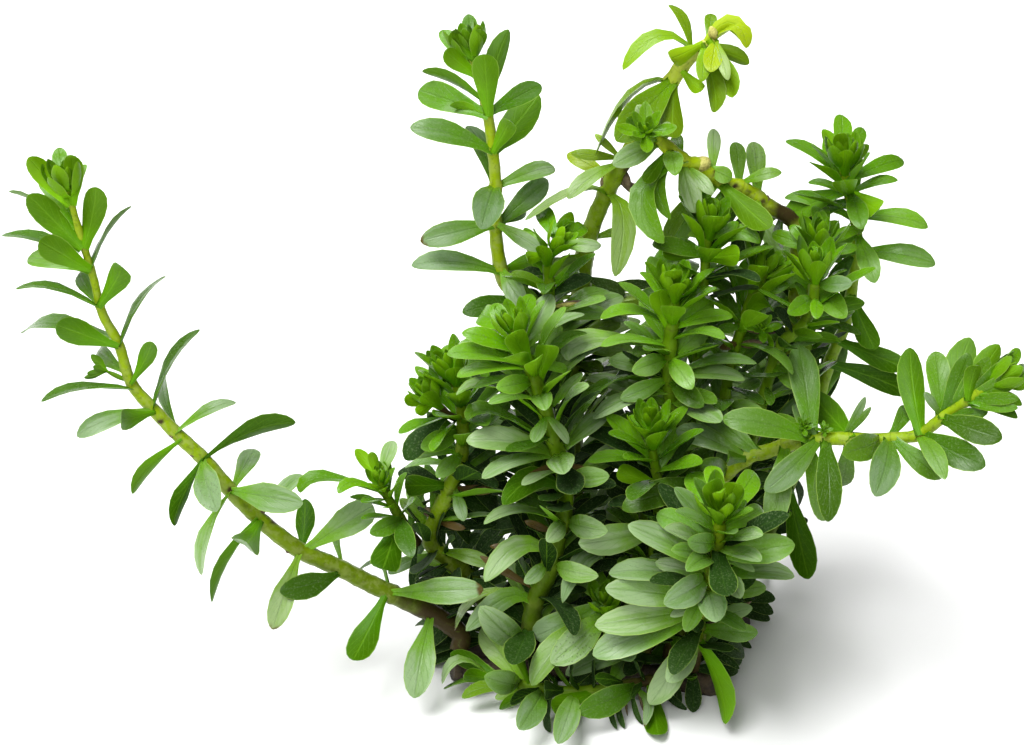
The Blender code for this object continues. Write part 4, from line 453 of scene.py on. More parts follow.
LONG_SHOOTS["right"] = dict(
    foot=(15.4, -2.6, 5.1), diameters=(3.2, 1.8),
    stem=[
        (19, 15, -2), (21, 28, -2), (25, 38, -2), (31, 43.5, -3), (35, 44.8, -3), (40, 46.3, -4),
        (45, 47.3, -4), (51, 47.5, -5), (57, 47.3, -5), (62, 47.6, -6), (66, 48.3, -6), (69, 50.5, -7),
        (71.5, 52.5, -7), (74.5, 54.5, -7.5), (79, 57.5, -8), (83, 60, -8),
    ],
    leaves=[
        (77, 56, 81.8, 66.3, 4.5, "D"), (75.5, 55, 77.4, 62.5, 3, "Dn"),
        (74.5, 54.3, 85.8, 51.9, 2.5, "U"), (78, 56.8, 86.6, 54.4, 2, "Un"),
        (81, 58.8, 86, 65.6, 2.5, "Uf"), (82, 59.4, 87.4, 61.4, 3, "Uf"), (81.6, 59, 87.4, 58, 2.2, "D"),
        (70.5, 52, 76, 67.7, 6, "Dp"), (70, 51.4, 69, 65.2, 4.5, "Uf"), (71, 52, 82.4, 47.5, 5, "Uk"),
        (31, 43.6, 16.8, 49.6, 4, "Up"), (25.6, 38.6, 27.6, 46.5, 3, "Uf"), (25, 38, 6.3, 33.6, 5, "Uk"),
        (24, 36, 32, 31, 4.5, "Un"), (19.5, 20, 28, 25, 4.5, "Uf"), (20, 24, 12, 19, 4.5, "Un"),
        (39, 46, 36.3, 29.6, 5, "U"), (42, 46.5, 47.5, 30.6, 5, "U"), (48, 47, 47.9, 31, 5, "Uk"),
        (46, 47, 45, 36.5, 2.8, "U"), (44, 48, 41.5, 54.5, 3, "Uf"), (52, 47, 50, 37.3, 4, "Ufk"),
        (65.8, 47, 71, 39.8, 3.8, "Un"), (60, 48.5, 63.5, 54, 3, "Uf"), (26.8, 40.5, 22, 42.3, 4, "U"),
        (31, 44, 27.5, 43.5, 3, "D"),
    ],
    separate_leaves=[
        (33, 44.4, 21.2, 54.3, 5.3, "Up"), (44.6, 47.4, 41.7, 66.4, 5.8, "U"),
        (43.6, 47.2, 26.5, 51.6, 5, "Un"), (45, 47, 35, 37, 5, "Unp"), (51.4, 48, 44, 56.8, 5.5, "D"),
        (59.6, 47, 57.3, 36.3, 5.8, "Up"), (57.6, 47.4, 50.6, 44.4, 5, "Un"),
        (60.6, 47.4, 70.6, 39.6, 4, "U"), (66.6, 48.6, 79, 42, 5.5, "Uk"),
        (66, 48.8, 63.8, 65.7, 5.2, "D"),
    ],
)


def on_view_ray(across, up, near):
    """The place seen at (across, up) that lies near millimetres in front of the view's target plane."""
    shrink = 1.0 - near / VIEW_DISTANCE
    side = (across - VIEW_CENTRE_ACROSS) * shrink
    rise = (up - VIEW_CENTRE_UP) * shrink
    return VIEW_TARGET + RIGHTWARD * side + UPWARD * rise + TOWARD * near


def place(across, up, back):
    """The place seen at (across, up) whose Y is back."""
    rise = up - VIEW_CENTRE_UP
    forward = VIEW_TARGET.y + rise * UPWARD.y - back
    return on_view_ray(across, up, forward / (-TOWARD.y + rise * UPWARD.y / VIEW_DISTANCE))


def seen_at(point):
    """The (across, up, near) of a place."""
    offset = point - VIEW_TARGET
    near = offset.dot(TOWARD)
    shrink = 1.0 - near / VIEW_DISTANCE
    across = offset.dot(RIGHTWARD) / shrink + VIEW_CENTRE_ACROSS
    return across, offset.dot(UPWARD) / shrink + VIEW_CENTRE_UP, near


class Stem:
    """A smooth centre line with a diameter that runs evenly from its foot to its tip."""

    STEPS = 8

    def __init__(self, spec):
        start = Vector(spec["foot"]) if "foot" in spec else place(*spec["fork"])
        knots = [start] + [place(*point) for point in spec["stem"]]
        self.points = smooth_line(knots, self.STEPS)
        self.lengths = [0.0]
        for before, after in zip(self.points, self.points[1:]):
            self.lengths.append(self.lengths[-1] + (after - before).length)
        self.length = self.lengths[-1]
        self.foot_radius, self.tip_radius = (diameter / 2.0 for diameter in spec["diameters"])
        self.seen = [seen_at(point) for point in self.points]
        self.frames = carried_frames(self.points)

    def at(self, distance):
        """(point, tangent, side) at a distance from the foot."""
        distance = min(max(distance, 0.0), self.length)
        index = 0
        while index < len(self.points) - 2 and self.lengths[index + 1] < distance:
            index += 1
        share = (distance - self.lengths[index]) / (self.lengths[index + 1] - self.lengths[index])
        point = self.points[index].lerp(self.points[index + 1], share)
        tangent = (self.points[index + 1] - self.points[index]).normalized()
        side = self.frames[index]
        side = (side - tangent * side.dot(tangent)).normalized()
        return point, tangent, side

    def radius(self, distance):
        taper = self.foot_radius + (self.tip_radius - self.foot_radius) * distance / self.length
        to_tip = self.length - distance
        return taper * min(1.0, STEM_TIP_SHARE + (1.0 - STEM_TIP_SHARE) * to_tip / STEM_TIP_LENGTH)

    def nearest(self, across, up):
        """The distance along the stem of the point seen nearest to (across, up)."""
        best = min(
            range(len(self.seen)),
            key=lambda i: (self.seen[i][0] - across) ** 2 + (self.seen[i][1] - up) ** 2,
        )
        return self.lengths[best]


def smooth_line(knots, steps):
    """A Catmull-Rom line through the knots."""
    ends = [knots[0] * 2 - knots[1]] + knots + [knots[-1] * 2 - knots[-2]]
    line = []
    for a, b, c, d in zip(ends, ends[1:], ends[2:], ends[3:]):
        for step in range(steps):
            t = step / steps
            line.append(
                0.5 * (b * 2 + (c - a) * t + (a * 2 - b * 5 + c * 4 - d) * t**2
                       + (b * 3 - a - c * 3 + d) * t**3)
            )
    return line + [knots[-1]]


def carried_frames(points):
    """A direction square to the line at each point, carried along without twist."""
    tangent = (points[1] - points[0]).normalized()
    side = tangent.cross(UPWARD if abs(tangent.dot(UPWARD)) < 0.9 else RIGHTWARD).normalized()
    sides = []
    for index in range(len(points)):
        after = points[min(index + 1, len(points) - 1)]
        before = points[max(index - 1, 0)]
        tangent = (after - before).normalized()
        side = (side - tangent * side.dot(tangent)).normalized()
        sides.append(side)
    return sides


class Leaf:
    """A flat tapering blade on a bowed centre line, from its foot on the stem to its tip."""

    def __init__(self, row, foot, stem_direction, tip_shift, sideways, scale):
        across, up, width, view = row[2:6]
        foot_across, foot_up, foot_near = seen_at(foot)
        seen = math.hypot(across - foot_across, up - foot_up)
        length = seen * BOWED_OVER_SEEN
        if "E" not in view:
            length = max(length, min(width * LEAF_SLENDERNESS, LONGEST_TURNED_LEAF))
        rear = "n" not in view if up > foot_up + STEEP_RISE * seen else "f" in view
        depth = math.sqrt(max(length**2 - seen**2, 0.0)) * (-1.0 if rear else 1.0)
        tip = on_view_ray(across, up, foot_near + depth + tip_shift)
        chord = tip - foot
        self.full_width = max(width, length / SLIMMEST_LEAF) * (0.8 + 0.2 * scale)
        if "E" in view:
            self.full_width = length / EDGE_ON_SLENDERNESS
        flatness = min(1.0, width / self.full_width)
        flat = Vector((chord.dot(RIGHTWARD), chord.dot(UPWARD), 0.0))
        across_leaf = (RIGHTWARD * -flat.y + UPWARD * flat.x).normalized()
        tip += across_leaf * sideways
        chord = (tip - foot) * scale
        tip = foot + chord
        across_leaf = (across_leaf - chord * (across_leaf.dot(chord) / chord.length_squared)).normalized()
        facing = chord.cross(across_leaf).normalized()
        if facing.dot(TOWARD) < 0:
            facing = -facing
        if "D" in view:
            facing = -facing
        lean = math.copysign(math.sqrt(1.0 - flatness**2), across_leaf.dot(stem_direction))
        self.upper = (facing * flatness + across_leaf * lean).normalized()
        self.sideways = self.upper.cross(chord).normalized()
        self.foot, self.tip, self.length = foot, tip, chord.length
        middle = (foot + tip) / 2.0
        self.control = middle + self.upper * (self.length * LEAF_BOW * 2.0)
        if len(row) > 6:
            self.control = on_view_ray(*row[6:8], foot_near + (depth + tip_shift) / 2.0) * 2.0 - middle

    def section(self, along, width, thickness):
        """Upper left, upper right, lower right and lower left corners of a cut across the leaf."""
        rest = 1.0 - along
        centre = self.foot * rest**2 + self.control * (2 * rest * along) + self.tip * along**2
        run = (self.control - self.foot) * rest + (self.tip - self.control) * along
        side = self.sideways - run * (self.sideways.dot(run) / run.length_squared)
        side = side.normalized() * (width / 2.0)
        lift = run.cross(side).normalized() * (thickness / 2.0)
        return [centre - side + lift, centre + side + lift, centre + side - lift, centre - side - lift]

    def stations(self):
        """(share of the length, share of the full width) of each cut, the tip's edge last."""
        if self.length > LONG_LEAF:
            return [(0.40, 0.62), (0.74, 1.0), (1.0, 0.42)]
        return [(0.62, 0.95), (1.0, 0.45)]

    def outline(self, swell=0.0, start=0.0, base=None):
        """Corners and faces of the leaf as a closed mesh that begins at start, or at the base corners."""
        first = self.section(start, LEAF_FOOT_WIDTH + 2 * swell, LEAF_THICKNESS + 2 * swell)
        if base:
            for corner, index in zip(base, matching_order(base, self)):
                first[index] = corner
        corners, faces = list(first), [(0, 1, 2, 3)]
        stations = [cut for cut in self.stations() if cut[0] > start + 0.05]
        for along, share in stations[:-1]:
            width = self.full_width * share + 2 * swell
            corners += self.section(along, width, LEAF_THICKNESS + 2 * swell)
            low = len(corners) - 8
            faces += [(low + i, low + (i + 1) % 4, low + 4 + (i + 1) % 4, low + 4 + i) for i in range(4)]
        reach = 1.0 + swell / self.length
        left, right, _, _ = self.section(reach, self.full_width * stations[-1][1] + 2 * swell, TIP_EDGE)
        last = len(corners) - 4
        corners += [left, right]
        tip_left, tip_right = last + 4, last + 5
        faces += [
            (last, last + 1, tip_right, tip_left),
            (last + 1, last + 2, tip_right),
            (last + 2, last + 3, tip_left, tip_right),
            (last + 3, last, tip_left),
        ]
        return corners, faces


class Clump:
    """Everything that is already in place, so that a new leaf can keep clear of it."""

    def __init__(self):
        self.pieces = []
        self.corners, self.faces = [], []

    def add(self, owner, kind, corners, faces):
        self.pieces.append((owner, kind, bounds_of(corners), BVHTree.FromPolygons(corners, faces)))
        first = len(self.corners)
        self.corners += list(corners)
        self.faces += [[first + index for index in face] for face in faces]

    def is_hit(self, corners, faces, skip):
        low, high = bounds_of(corners)
        tree = None
        for owner, kind, (other_low, other_high), other in self.pieces:
            if (owner, kind) in skip:
                continue
            if any(low[i] > other_high[i] or high[i] < other_low[i] for i in range(3)):
                continue
            tree = tree or BVHTree.FromPolygons(corners, faces)
            if tree.overlap(other):
                return True
        return False

    def whole_tree(self):
        """All faces at once, to look through the clump."""
        return BVHTree.FromPolygons(self.corners, self.faces)


def bounds_of(corners):
    low = [min(corner[i] for corner in corners) for i in range(3)]
    high = [max(corner[i] for corner in corners) for i in range(3)]
    return low, high


def ring(stem, distance):
    point, tangent, side = stem.at(distance)
    other = tangent.cross(side)
    corners = []
    for index in range(STEM_SIDES):
        angle = math.tau * index / STEM_SIDES
        corners.append(point + (side * math.cos(angle) + other * math.sin(angle)) * stem.radius(distance))
    return corners


def whorls_of(stem, rows):
    """Groups the leaves along the stem and gives each group the place of its band."""
    placed = sorted(((stem.nearest(row[0], row[1]), row) for row in rows), key=lambda pair: pair[0])
    groups = []
    for distance, row in placed:
        if groups and distance - groups[-1][0][0] < WHORL_REACH and len(groups[-1]) < LEAVES_IN_WHORL:
            groups[-1].append((distance, row))
        else:
            groups.append([(distance, row)])
    centres = [sum(distance for distance, _ in group) / len(group) for group in groups]
    highest = stem.length - BAND_HEIGHT
    for index in reversed(range(len(centres))):
        centres[index] = max(min(centres[index], highest), BAND_HEIGHT)
        highest = centres[index] - BAND_SPACING
    return [(centre, [row for _, row in group]) for centre, group in zip(centres, groups)]


def direction_about(stem, distance, row):
    """The angle about the stem at which a leaf leaves it."""
    point, tangent, side = stem.at(distance)
    _, _, near = seen_at(point)
    seen = math.hypot(row[2] - row[0], row[3] - row[1])
    length = max(seen * BOWED_OVER_SEEN, 0.0 if "E" in row[5] else row[4] * LEAF_SLENDERNESS)
    depth = math.sqrt(max(length**2 - seen**2, 0.0))
    steep = row[3] > row[1] + STEEP_RISE * seen
    rear = "n" not in row[5] if steep else "f" in row[5]
    toward_tip = on_view_ray(row[2], row[3], near + (-depth if rear else depth)) - point
    other = tangent.cross(side)
    return math.atan2(toward_tip.dot(other), toward_tip.dot(side)) % (2.0 * math.pi)


def give_sides(stem, distance, rows):
    """Gives each leaf of a whorl its own side of the stem, the one nearest to its direction."""
    step = 2.0 * math.pi / STEM_SIDES
    free = set(range(STEM_SIDES))
    given = []
    for row in rows:
        angle = direction_about(stem, distance, row)

        def turn(index):
            return abs((angle - (index + 0.5) * step + math.pi) % (2.0 * math.pi) - math.pi)

        chosen = min(sorted(free), key=turn)
        free.remove(chosen)
        given.append((row, chosen))
    return given


# What a leaf may do to keep clear: tip nearer or farther, tip sideways, drawn in, foot farther out
SHIFTS = (0.0, 1.2, -1.2, 2.4, -2.4, 3.6, -3.6, 5.0, -5.0, 7.0, -7.0, 9.0, -9.0, 12.0)
SIDESTEPS = (0.0, 0.9, -0.9, 1.8, -1.8)
SCALES = (1.0, 0.86, 0.72)
FOOT_REACHES = (0.3, 0.7, 1.1, 1.5)


def fitted_leaf(clump, owner, row, foot, stem_direction, base=None):
    """The leaf of this row, turned or shortened as little as its neighbours need, or None."""
    own = {(owner, "stem"), (owner, "leaf")} if base else set()
    for scale in SCALES:
        for sideways in SIDESTEPS:
            for shift in SHIFTS:
                leaf = Leaf(row, foot, stem_direction, shift, sideways, scale)
                if leaf.length < SMALLEST_LEAF:
                    continue
                whole = leaf.outline(GAP / 2, 0.0, base)
                if min(corner.z for corner in whole[0]) < GROUND_GAP:
                    continue
                if clump.is_hit(*whole, own):
                    continue
                if clump.is_hit(*leaf.outline(GAP / 2, FREE_PART), set()):
                    continue
                return leaf
    return None


def matching_order(base, leaf):
    """The order of a cut's corners that joins them to the four base corners with the least twist."""
    along, share = leaf.stations()[0]
    cut = leaf.section(along, leaf.full_width * share, LEAF_THICKNESS)
    run = (leaf.tip - leaf.foot).normalized()

    def turned(corners):
        centre = sum(corners, Vector()) / 4.0
        after = corners[1:] + corners[:1]
        return sum((a - centre).cross(b - centre).dot(run) for a, b in zip(corners, after)) > 0

    order = [0, 1, 2, 3] if turned(base) == turned(cut) else [3, 2, 1, 0]
    orders = [order[k:] + order[:k] for k in range(4)]
    return min(orders, key=lambda o: sum((base[i] - cut[o[i]]).length for i in range(4)))


def ring_places(stem, whorls):
    """Distances of every ring of the stem: two at each band, and more where the stretch is long."""
    places = [0.0]
    for centre, _ in whorls:
        places += [centre - BAND_HEIGHT / 2, centre + BAND_HEIGHT / 2]
    places.append(stem.length)
    filled = []
    for before, after in zip(places, places[1:]):
        filled.append(before)
        parts = max(1, round((after - before) / LONGEST_STRETCH))
        filled += [before + (after - before) * part / parts for part in range(1, parts)]
    return filled + [stem.length]


def rootstock_arm(knots):
    """The corners and faces of one creeping stem, as its solid has them."""
    line = smooth_line([Vector(knot) for knot in knots], 1)
    corners = []
    for index, (point, side) in enumerate(zip(line, carried_frames(line))):
        after = line[min(index + 1, len(line) - 1)]
        before = line[max(index - 1, 0)]
        other = (after - before).normalized().cross(side)
        for i in range(ROOTSTOCK_SIDES):
            angle = math.tau * (i + 0.5) / ROOTSTOCK_SIDES
            offset = side * math.cos(angle) + other * math.sin(angle)
            corners.append(point + offset * ROOTSTOCK_RADIUS)
    return corners, tube_faces(len(line), ROOTSTOCK_SIDES)


def tube_faces(rings, sides):
    """The faces of a closed tube: its two ends, and then each stretch between two rings."""
    last = (rings - 1) * sides
    faces = [tuple(range(sides)), tuple(range(last, last + sides))]
    for low in range(0, last, sides):
        for i in range(sides):
            j = (i + 1) % sides
            faces.append((low + i, low + j, low + sides + j, low + sides + i))
    return faces


def stem_cage(stem, whorls):
    """The plain solid stem, and the four corners of each side of its bands."""
    places = ring_places(stem, whorls)
    corners = [corner for distance in places for corner in ring(stem, distance)]
    faces = tube_faces(len(places), STEM_SIDES)
    sides = {}
    for index, face in enumerate(faces[2:]):
        sides[places[index // STEM_SIDES], index % STEM_SIDES] = [corners[corner] for corner in face]
    return corners, faces, sides


# Ages run from 0 at a shoot's tip to 1 this far below it; leaves of low shoots are old from the start
GROWN_BELOW = 55.0
OLDER_BY = {"low_front_shoot": 0.55, "creeping_shoot": 0.6, "front_shoot": 0.1}
OLD_LOOKS = "spk"
LEAST_OLD_AGE = 0.8


def aged(leaf, name, stem, distance, look):
    """Notes on the leaf what its material shows."""
    age = (stem.length - distance) / GROWN_BELOW + OLDER_BY.get(name, 0.0)
    if any(letter in look for letter in OLD_LOOKS):
        age = max(age, LEAST_OLD_AGE)
    leaf.age, leaf.look = min(1.0, max(0.0, age)), look
    return leaf


# The broad feet of these shoots' leaves lie over the stem, this far in front of where they grow out
FEET_IN_FRONT = ("runner", "right", "back_left_shoot", "back_right_shoot", "nodding_shoot")
FOOT_IN_FRONT = 1.2


def leaves_on(clump, name, stem, whorls, sides):
    """The leaves that grow out of a stem's bands."""
    leaves = []
    for centre, group in whorls:
        _, tangent, _ = stem.at(centre)
        for row, side in give_sides(stem, centre, group):
            base = sides[centre - BAND_HEIGHT / 2, side]
            foot = sum(base, Vector()) / len(base)
            leaf = fitted_leaf(clump, name, row, foot, tangent, base)
            if leaf is None:
                continue
            clump.add(name, "leaf", *leaf.outline(base=base))
            if name in FEET_IN_FRONT and "f" not in row[5]:
                leaf.foot = leaf.foot.lerp(stem.at(centre)[0], 0.5) + TOWARD * FOOT_IN_FRONT
            leaves.append(aged(leaf, name, stem, centre, row[5]))
    return leaves


def leaf_apart(clump, name, stem, row):
    """A grown leaf that stands on the stem as a piece of its own."""
    distance = stem.nearest(row[0], row[1])
    point, tangent, side = stem.at(distance)
    angle = direction_about(stem, distance, row)
    outward = side * math.cos(angle) + tangent.cross(side) * math.sin(angle)
    leaf = None
    for reach in FOOT_REACHES:
        foot = point + outward * (stem.radius(distance) + GAP + reach)
        leaf = leaf or fitted_leaf(clump, name, row, foot, tangent)
    if leaf:
        clump.add(name, "leaf apart", *leaf.outline())
        leaf.stem_point = point
        leaf = aged(leaf, name, stem, distance, row[5])
    return leaf


class FreeLeaf(Leaf):
    """A leaf placed straight from its foot, tip and upper side."""

    def __init__(self, foot, tip, upper, width, bow=LEAF_BOW):
        chord = tip - foot
        self.foot, self.tip, self.full_width = foot, tip, width
        self.upper = (upper - chord * (upper.dot(chord) / chord.length_squared)).normalized()
        self.sideways = self.upper.cross(chord).normalized()
        self.control = (foot + tip) / 2.0 + self.upper * (chord.length * bow * 2.0)
        self.length = chord.length


def leaf_round(centre, axis, side, radius, angle, lean, length, width, bow):
    """A leaf that leaves an axis at an angle about it, leaning by lean degrees off its run."""
    outward = side * math.cos(angle) + axis.cross(side) * math.sin(angle)
    foot = centre + outward * radius * SKIN_SHARE
    turn = math.radians(lean)
    run = axis * math.cos(turn) + outward * math.sin(turn)
    upper = axis * math.sin(turn) - outward * math.cos(turn)
    return FreeLeaf(foot, foot + run * length, upper, width, bow)


def leaf_about(stem, distance, *shape):
    """A leaf that leaves the stem: its angle about the stem, lean, length, width and bow."""
    return leaf_round(*stem.at(distance), stem.radius(distance), *shape)


# The young leaves round each tip: (below the tip, how many, lean in degrees, length, width)
TIP_WHORLS = [
    (11.5, 3, 52, 13.5, 4.8), (8.8, 4, 47, 12.5, 4.6), (6.4, 4, 41, 11, 4.3), (4.4, 4, 35, 9.2, 3.9),
    (2.9, 4, 29, 7.4, 3.4), (1.8, 3, 22, 5.8, 2.8), (0.9, 3, 14, 4.3, 2.1), (0.3, 2, 7, 3, 1.4),
]
FREE_LEVELS = 4
HEADLESS = ("creeping_shoot", "nodding_shoot", "arched_shoot")
LOOSE_HEADS = ("runner", "right", "back_left_shoot")
SMALL_HEADS = {"left_low_shoot": 0.6, "small_left_shoot": 0.85}
HEAD_AGES = {"front_shoot": 4.0, "centre_left_shoot": 2.5, "centre_shoot": 2.0}


LEVEL_TURN = 0.8
CUPPED_BOW = -0.12
FLAT_BOW = 0.02
TIP_AGEING = 0.012


def tip_rosette(clump, name, stem, chance):
    """The cupped young leaves round a shoot's growing point, the larger ones only where there is room."""
    leaves = []
    if name in HEADLESS:
        return leaves
    start = chance.uniform(0.0, math.pi)
    for level, (below, count, lean, length, width) in enumerate(TIP_WHORLS):
        young = level >= FREE_LEVELS
        for index in range(count):
            angle = start + level * LEVEL_TURN + math.tau * index / count + chance.uniform(-0.15, 0.15)
            grown = chance.uniform(0.88, 1.12) * SMALL_HEADS.get(name, 1.0)
            if not young and name in LOOSE_HEADS:
                continue
            leaf = leaf_about(
                stem, stem.length - below, angle, lean + chance.uniform(-7, 7), length * grown, width * grown,
                CUPPED_BOW if young else FLAT_BOW,
            )
            if not young:
                if clump.is_hit(*leaf.outline(0.0, 0.3), {(name, "stem")}):
                    continue
                clump.add(name, "leaf", *leaf.outline())
            leaf.age, leaf.look = TIP_AGEING * below * HEAD_AGES.get(name, 1.0), "T"
            leaves.append(leaf)
    return leaves


# Young and odd leaves that the solids leave out: (foot across, up, tip across, up, how much nearer
# the tip lies, width, look), and for an arched one the place (across, up) its bow is drawn to
EXTRA_LEAVES = {
    "nodding_shoot": [
        (25.3, 126.8, 24.1, 120.8, 5, 3.6, "Uy"), (25.2, 127.8, 31.2, 125.6, 4, 4.4, "Uye", 30.8, 133.4),
        (26, 125.8, 28.4, 115.2, 3, 2.8, "D"), (25.8, 126.2, 27.6, 119.4, 6, 2.2, "Up"),
        (5.6, 103.6, -3.8, 104.6, 2, 2.2, "Uq"), (5.4, 104, 1, 108.4, 1, 1.6, "Uq"),
    ],
    "arched_shoot": [
        (16.5, 99.8, 21, 92.6, 3, 4.2, "Up"), (18.5, 96.6, 24.6, 96.4, 4, 2.6, "Up"),
        (25, 102.6, 28.4, 99.4, 1, 3.2, "U"), (13.8, 107.2, 7.3, 111.5, 8, 3.8, "U"),
        (13.8, 107.6, 11, 112.4, 7, 3, "U"), (14.2, 107.4, 9.4, 114, 5, 3.6, "Up"),
        (14.6, 107.4, 15.8, 110.8, 4, 2.6, "Up"), (13.8, 107, 8, 107.8, 8, 1.6, "U"),
    ],
    "right": [
        (73.5, 54, 79.8, 63.8, 4, 3.4, "U"), (75, 55, 84.8, 63.4, 4, 3.6, "U"),
        (76, 55.6, 86.2, 60.2, 5, 3.6, "U"), (76, 55.4, 85.8, 55.6, 6, 2.4, "U"),
        (75, 54.6, 85.6, 53.6, 6, 2.4, "U"), (70.8, 52.6, 75.8, 64.6, 4, 4, "U"),
        (72.4, 53.6, 78, 62.2, 4, 3, "U"), (69.8, 51.6, 79.6, 52.8, 4, 2.6, "U"),
        (51, 49, 55.2, 55.8, 2, 1.6, "Up"), (51.5, 49.2, 56.2, 53.8, 2, 1.3, "U"),
        (68.5, 54, 66.9, 56.8, 2, 1.7, "Up"),
    ],
    "runner": [
        (-96.4, 60.8, -99.8, 64.3, 1, 1.8, "DoT"), (-96.8, 61, -99.4, 61.9, 1, 1.4, "DoT"),
        (-96.8, 60.9, -100.6, 60.5, 1, 1.4, "DoT"), (-96.8, 60.8, -101.2, 59.6, 1, 1.2, "DoT"),
    ],
    "left_shoot": [
        (-30.3, 30.8, -25, 29.5, 3, 1.6, "Uw"), (-24.6, 36.6, -19.5, 37, 3, 2, "Uw"),
        (-35.3, 31.7, -38, 35.5, 1, 2.5, "Uy"), (-34.5, 33, -36.2, 37, 1, 1.2, "U"),
        (-33.5, 34, -31, 39, 1, 1.5, "U"),
    ],
    "back_right_shoot": [(56, 92.2, 53.8, 88.5, 3, 2, "Uy")],
    "right_inner_shoot": [(29.6, 66.6, 26, 65.6, 5, 1.6, "Uw")],
    "centre_left_shoot": [
        (-17, 27.5, -20, 26, 3, 1.8, "Uw"), (-19, 22, -22, 24, 3, 1.8, "Uw"),
        (-10.5, 29.5, -13, 31, 3, 1.6, "Uw"), (-12, 41, -13.5, 39, 4, 1.6, "Uw"),
        (-3, 42.6, 0.2, 40.4, 3, 1.6, "Uw"),
    ],
}

# Small side rosettes: (across, up, how much nearer than the stem, size)
SIDE_ROSETTES = {
    "arched_shoot": [(11.2, 108.8, 7, 1.1)],
    "right_inner_shoot": [(34.4, 69.6, 3, 0.75)],
    "right": [(42.8, 50, 1.8, 0.5), (46.8, 49.2, 1.6, 0.35)],
}
SIDE_WHORLS = [(4, 72, 5.2, 2.3), (4, 50, 4.2, 2), (3, 28, 3.2, 1.6), (2, 8, 2.4, 1.1)]

# Buds, stubs, stalks and rootlets as drops between two places in the view: (from across, up,
# to across, up, radius, material, how much nearer than the stem)
DROPS = {
    "nodding_shoot": [
        (25.4, 127.2, 24.1, 130, 0.95, "stub", 1), (1.9, 98, 2.4, 99.8, 0.6, "bud", 1),
        (6.4, 98.4, 9.6, 98, 0.6, "bud", 0), (7.6, 98.2, 9.2, 96, 0.5, "bud", 0),
        (6.8, 101.2, 8, 96.8, 0.8, "bud", -0.5),
    ],
    "arched_shoot": [
        (23.6, 101.2, 21.2, 103.6, 1.8, "stub", 0.8), (35.2, 94.4, 35.6, 96.2, 0.6, "bud", 0.8),
    ],
    "small_left_shoot": [(-1.4, 73.6, -0.8, 75, 0.6, "bud", 1), (-2.8, 73.4, -2.2, 74.6, 0.5, "stub", 1.4)],
    "right_inner_shoot": [(33.4, 65, 34.6, 66.8, 0.9, "bud", 2.5), (36, 67.6, 37.2, 68.6, 0.6, "bud", 2)],
    "left_shoot": [(-33.8, 32.4, -32.8, 33.8, 0.9, "bud", 1), (-24.4, 38.8, -23.6, 40.4, 0.7, "stub", 1)],
    "front_shoot": [(31, 10.6, 32.4, 15, 0.7, "bud", 0.6)],
    "runner": [
        (-92.5, 59, -97.2, 61.2, 0.5, "stem", 0), (-84.5, 47, -83.6, 48.4, 0.6, "bud", 0.8),
        (-80.3, 43.2, -79.4, 44.6, 0.6, "bud", 0.8), (-65.7, 32.6, -64.8, 34, 0.6, "bud", 0.8),
        (-61.3, 23.8, -60.4, 25.2, 0.6, "bud", 0.8),
    ],
    "creeping_shoot": [
        (20.5, -1.5, 21.5, 3.2, 0.4, "bud", 1.5), (7.4, -5, 7.5, -8.2, 0.3, "bud", 1),
        (10.2, -5.4, 10.9, -7.8, 0.3, "bud", 1),
    ],
}


# A foot that is put on a stem's skin sits at this share of its radius
SKIN_SHARE = 0.8


def on_stem(stem, distance, place):
    """The place itself where it lies inside the stem, or the stem's skin on that side."""
    centre = stem.at(distance)[0]
    off = place - centre
    radius = stem.radius(distance)
    return place if off.length < radius else centre + off.normalized() * radius * SKIN_SHARE


def rosette_centre(stem, row):
    """Where the stem is nearest to a side rosette, and the rosette's centre."""
    across, up, nearer, _ = row
    distance = stem.nearest(across, up)
    return distance, on_view_ray(across, up, seen_at(stem.at(distance)[0])[2] + nearer)


EXTRA_BOW = 0.06
TURNED_TOWARD = 1.4
SIDE_BOW = -0.1
SIDE_AGE = 0.05


def extra_leaf(name, stem, row):
    """The leaf of one row of the extra leaves."""
    across, up, tip_across, tip_up, nearer, width, look, *bow = row
    distance = stem.nearest(across, up)
    near = seen_at(stem.at(distance)[0])[2]
    foot = on_view_ray(across, up, near)
    if "o" not in look:
        foot = on_stem(stem, distance, foot)
    tip = on_view_ray(tip_across, tip_up, near + nearer)
    leaf = FreeLeaf(foot, tip, -TOWARD if "D" in look else TOWARD, width, EXTRA_BOW)
    if bow:
        leaf.control = on_view_ray(*bow, near + nearer / 2.0)
        leaf.upper = (leaf.control - (foot + tip) / 2.0).normalized()
        if "e" in look:
            leaf.upper = (leaf.upper + TOWARD * TURNED_TOWARD).normalized()
        leaf.sideways = leaf.upper.cross(tip - foot).normalized()
    return aged(leaf, name, stem, distance, look)


def side_rosette(stem, row):
    """The small cupped leaves of a side rosette, which faces the view and a little up."""
    _, centre = rosette_centre(stem, row)
    size = row[3]
    axis = (TOWARD + UPWARD * 0.5).normalized()
    side = axis.cross(RIGHTWARD).normalized()
    leaves = []
    for level, (count, lean, length, width) in enumerate(SIDE_WHORLS):
        for index in range(count):
            angle = level * LEVEL_TURN + math.tau * index / count
            shape = (angle, lean, length * size, width * size, SIDE_BOW)
            leaf = leaf_round(centre, axis, side, 0.0, *shape)
            leaf.age, leaf.look = SIDE_AGE, "T"
            leaves.append(leaf)
    return leaves


def extra_leaves(name, stem):
    """The leaves of a shoot that only stand in the tables above, and its side rosettes."""
    leaves = [extra_leaf(name, stem, row) for row in EXTRA_LEAVES.get(name, [])]
    for row in SIDE_ROSETTES.get(name, []):
        leaves += side_rosette(stem, row)
    return leaves


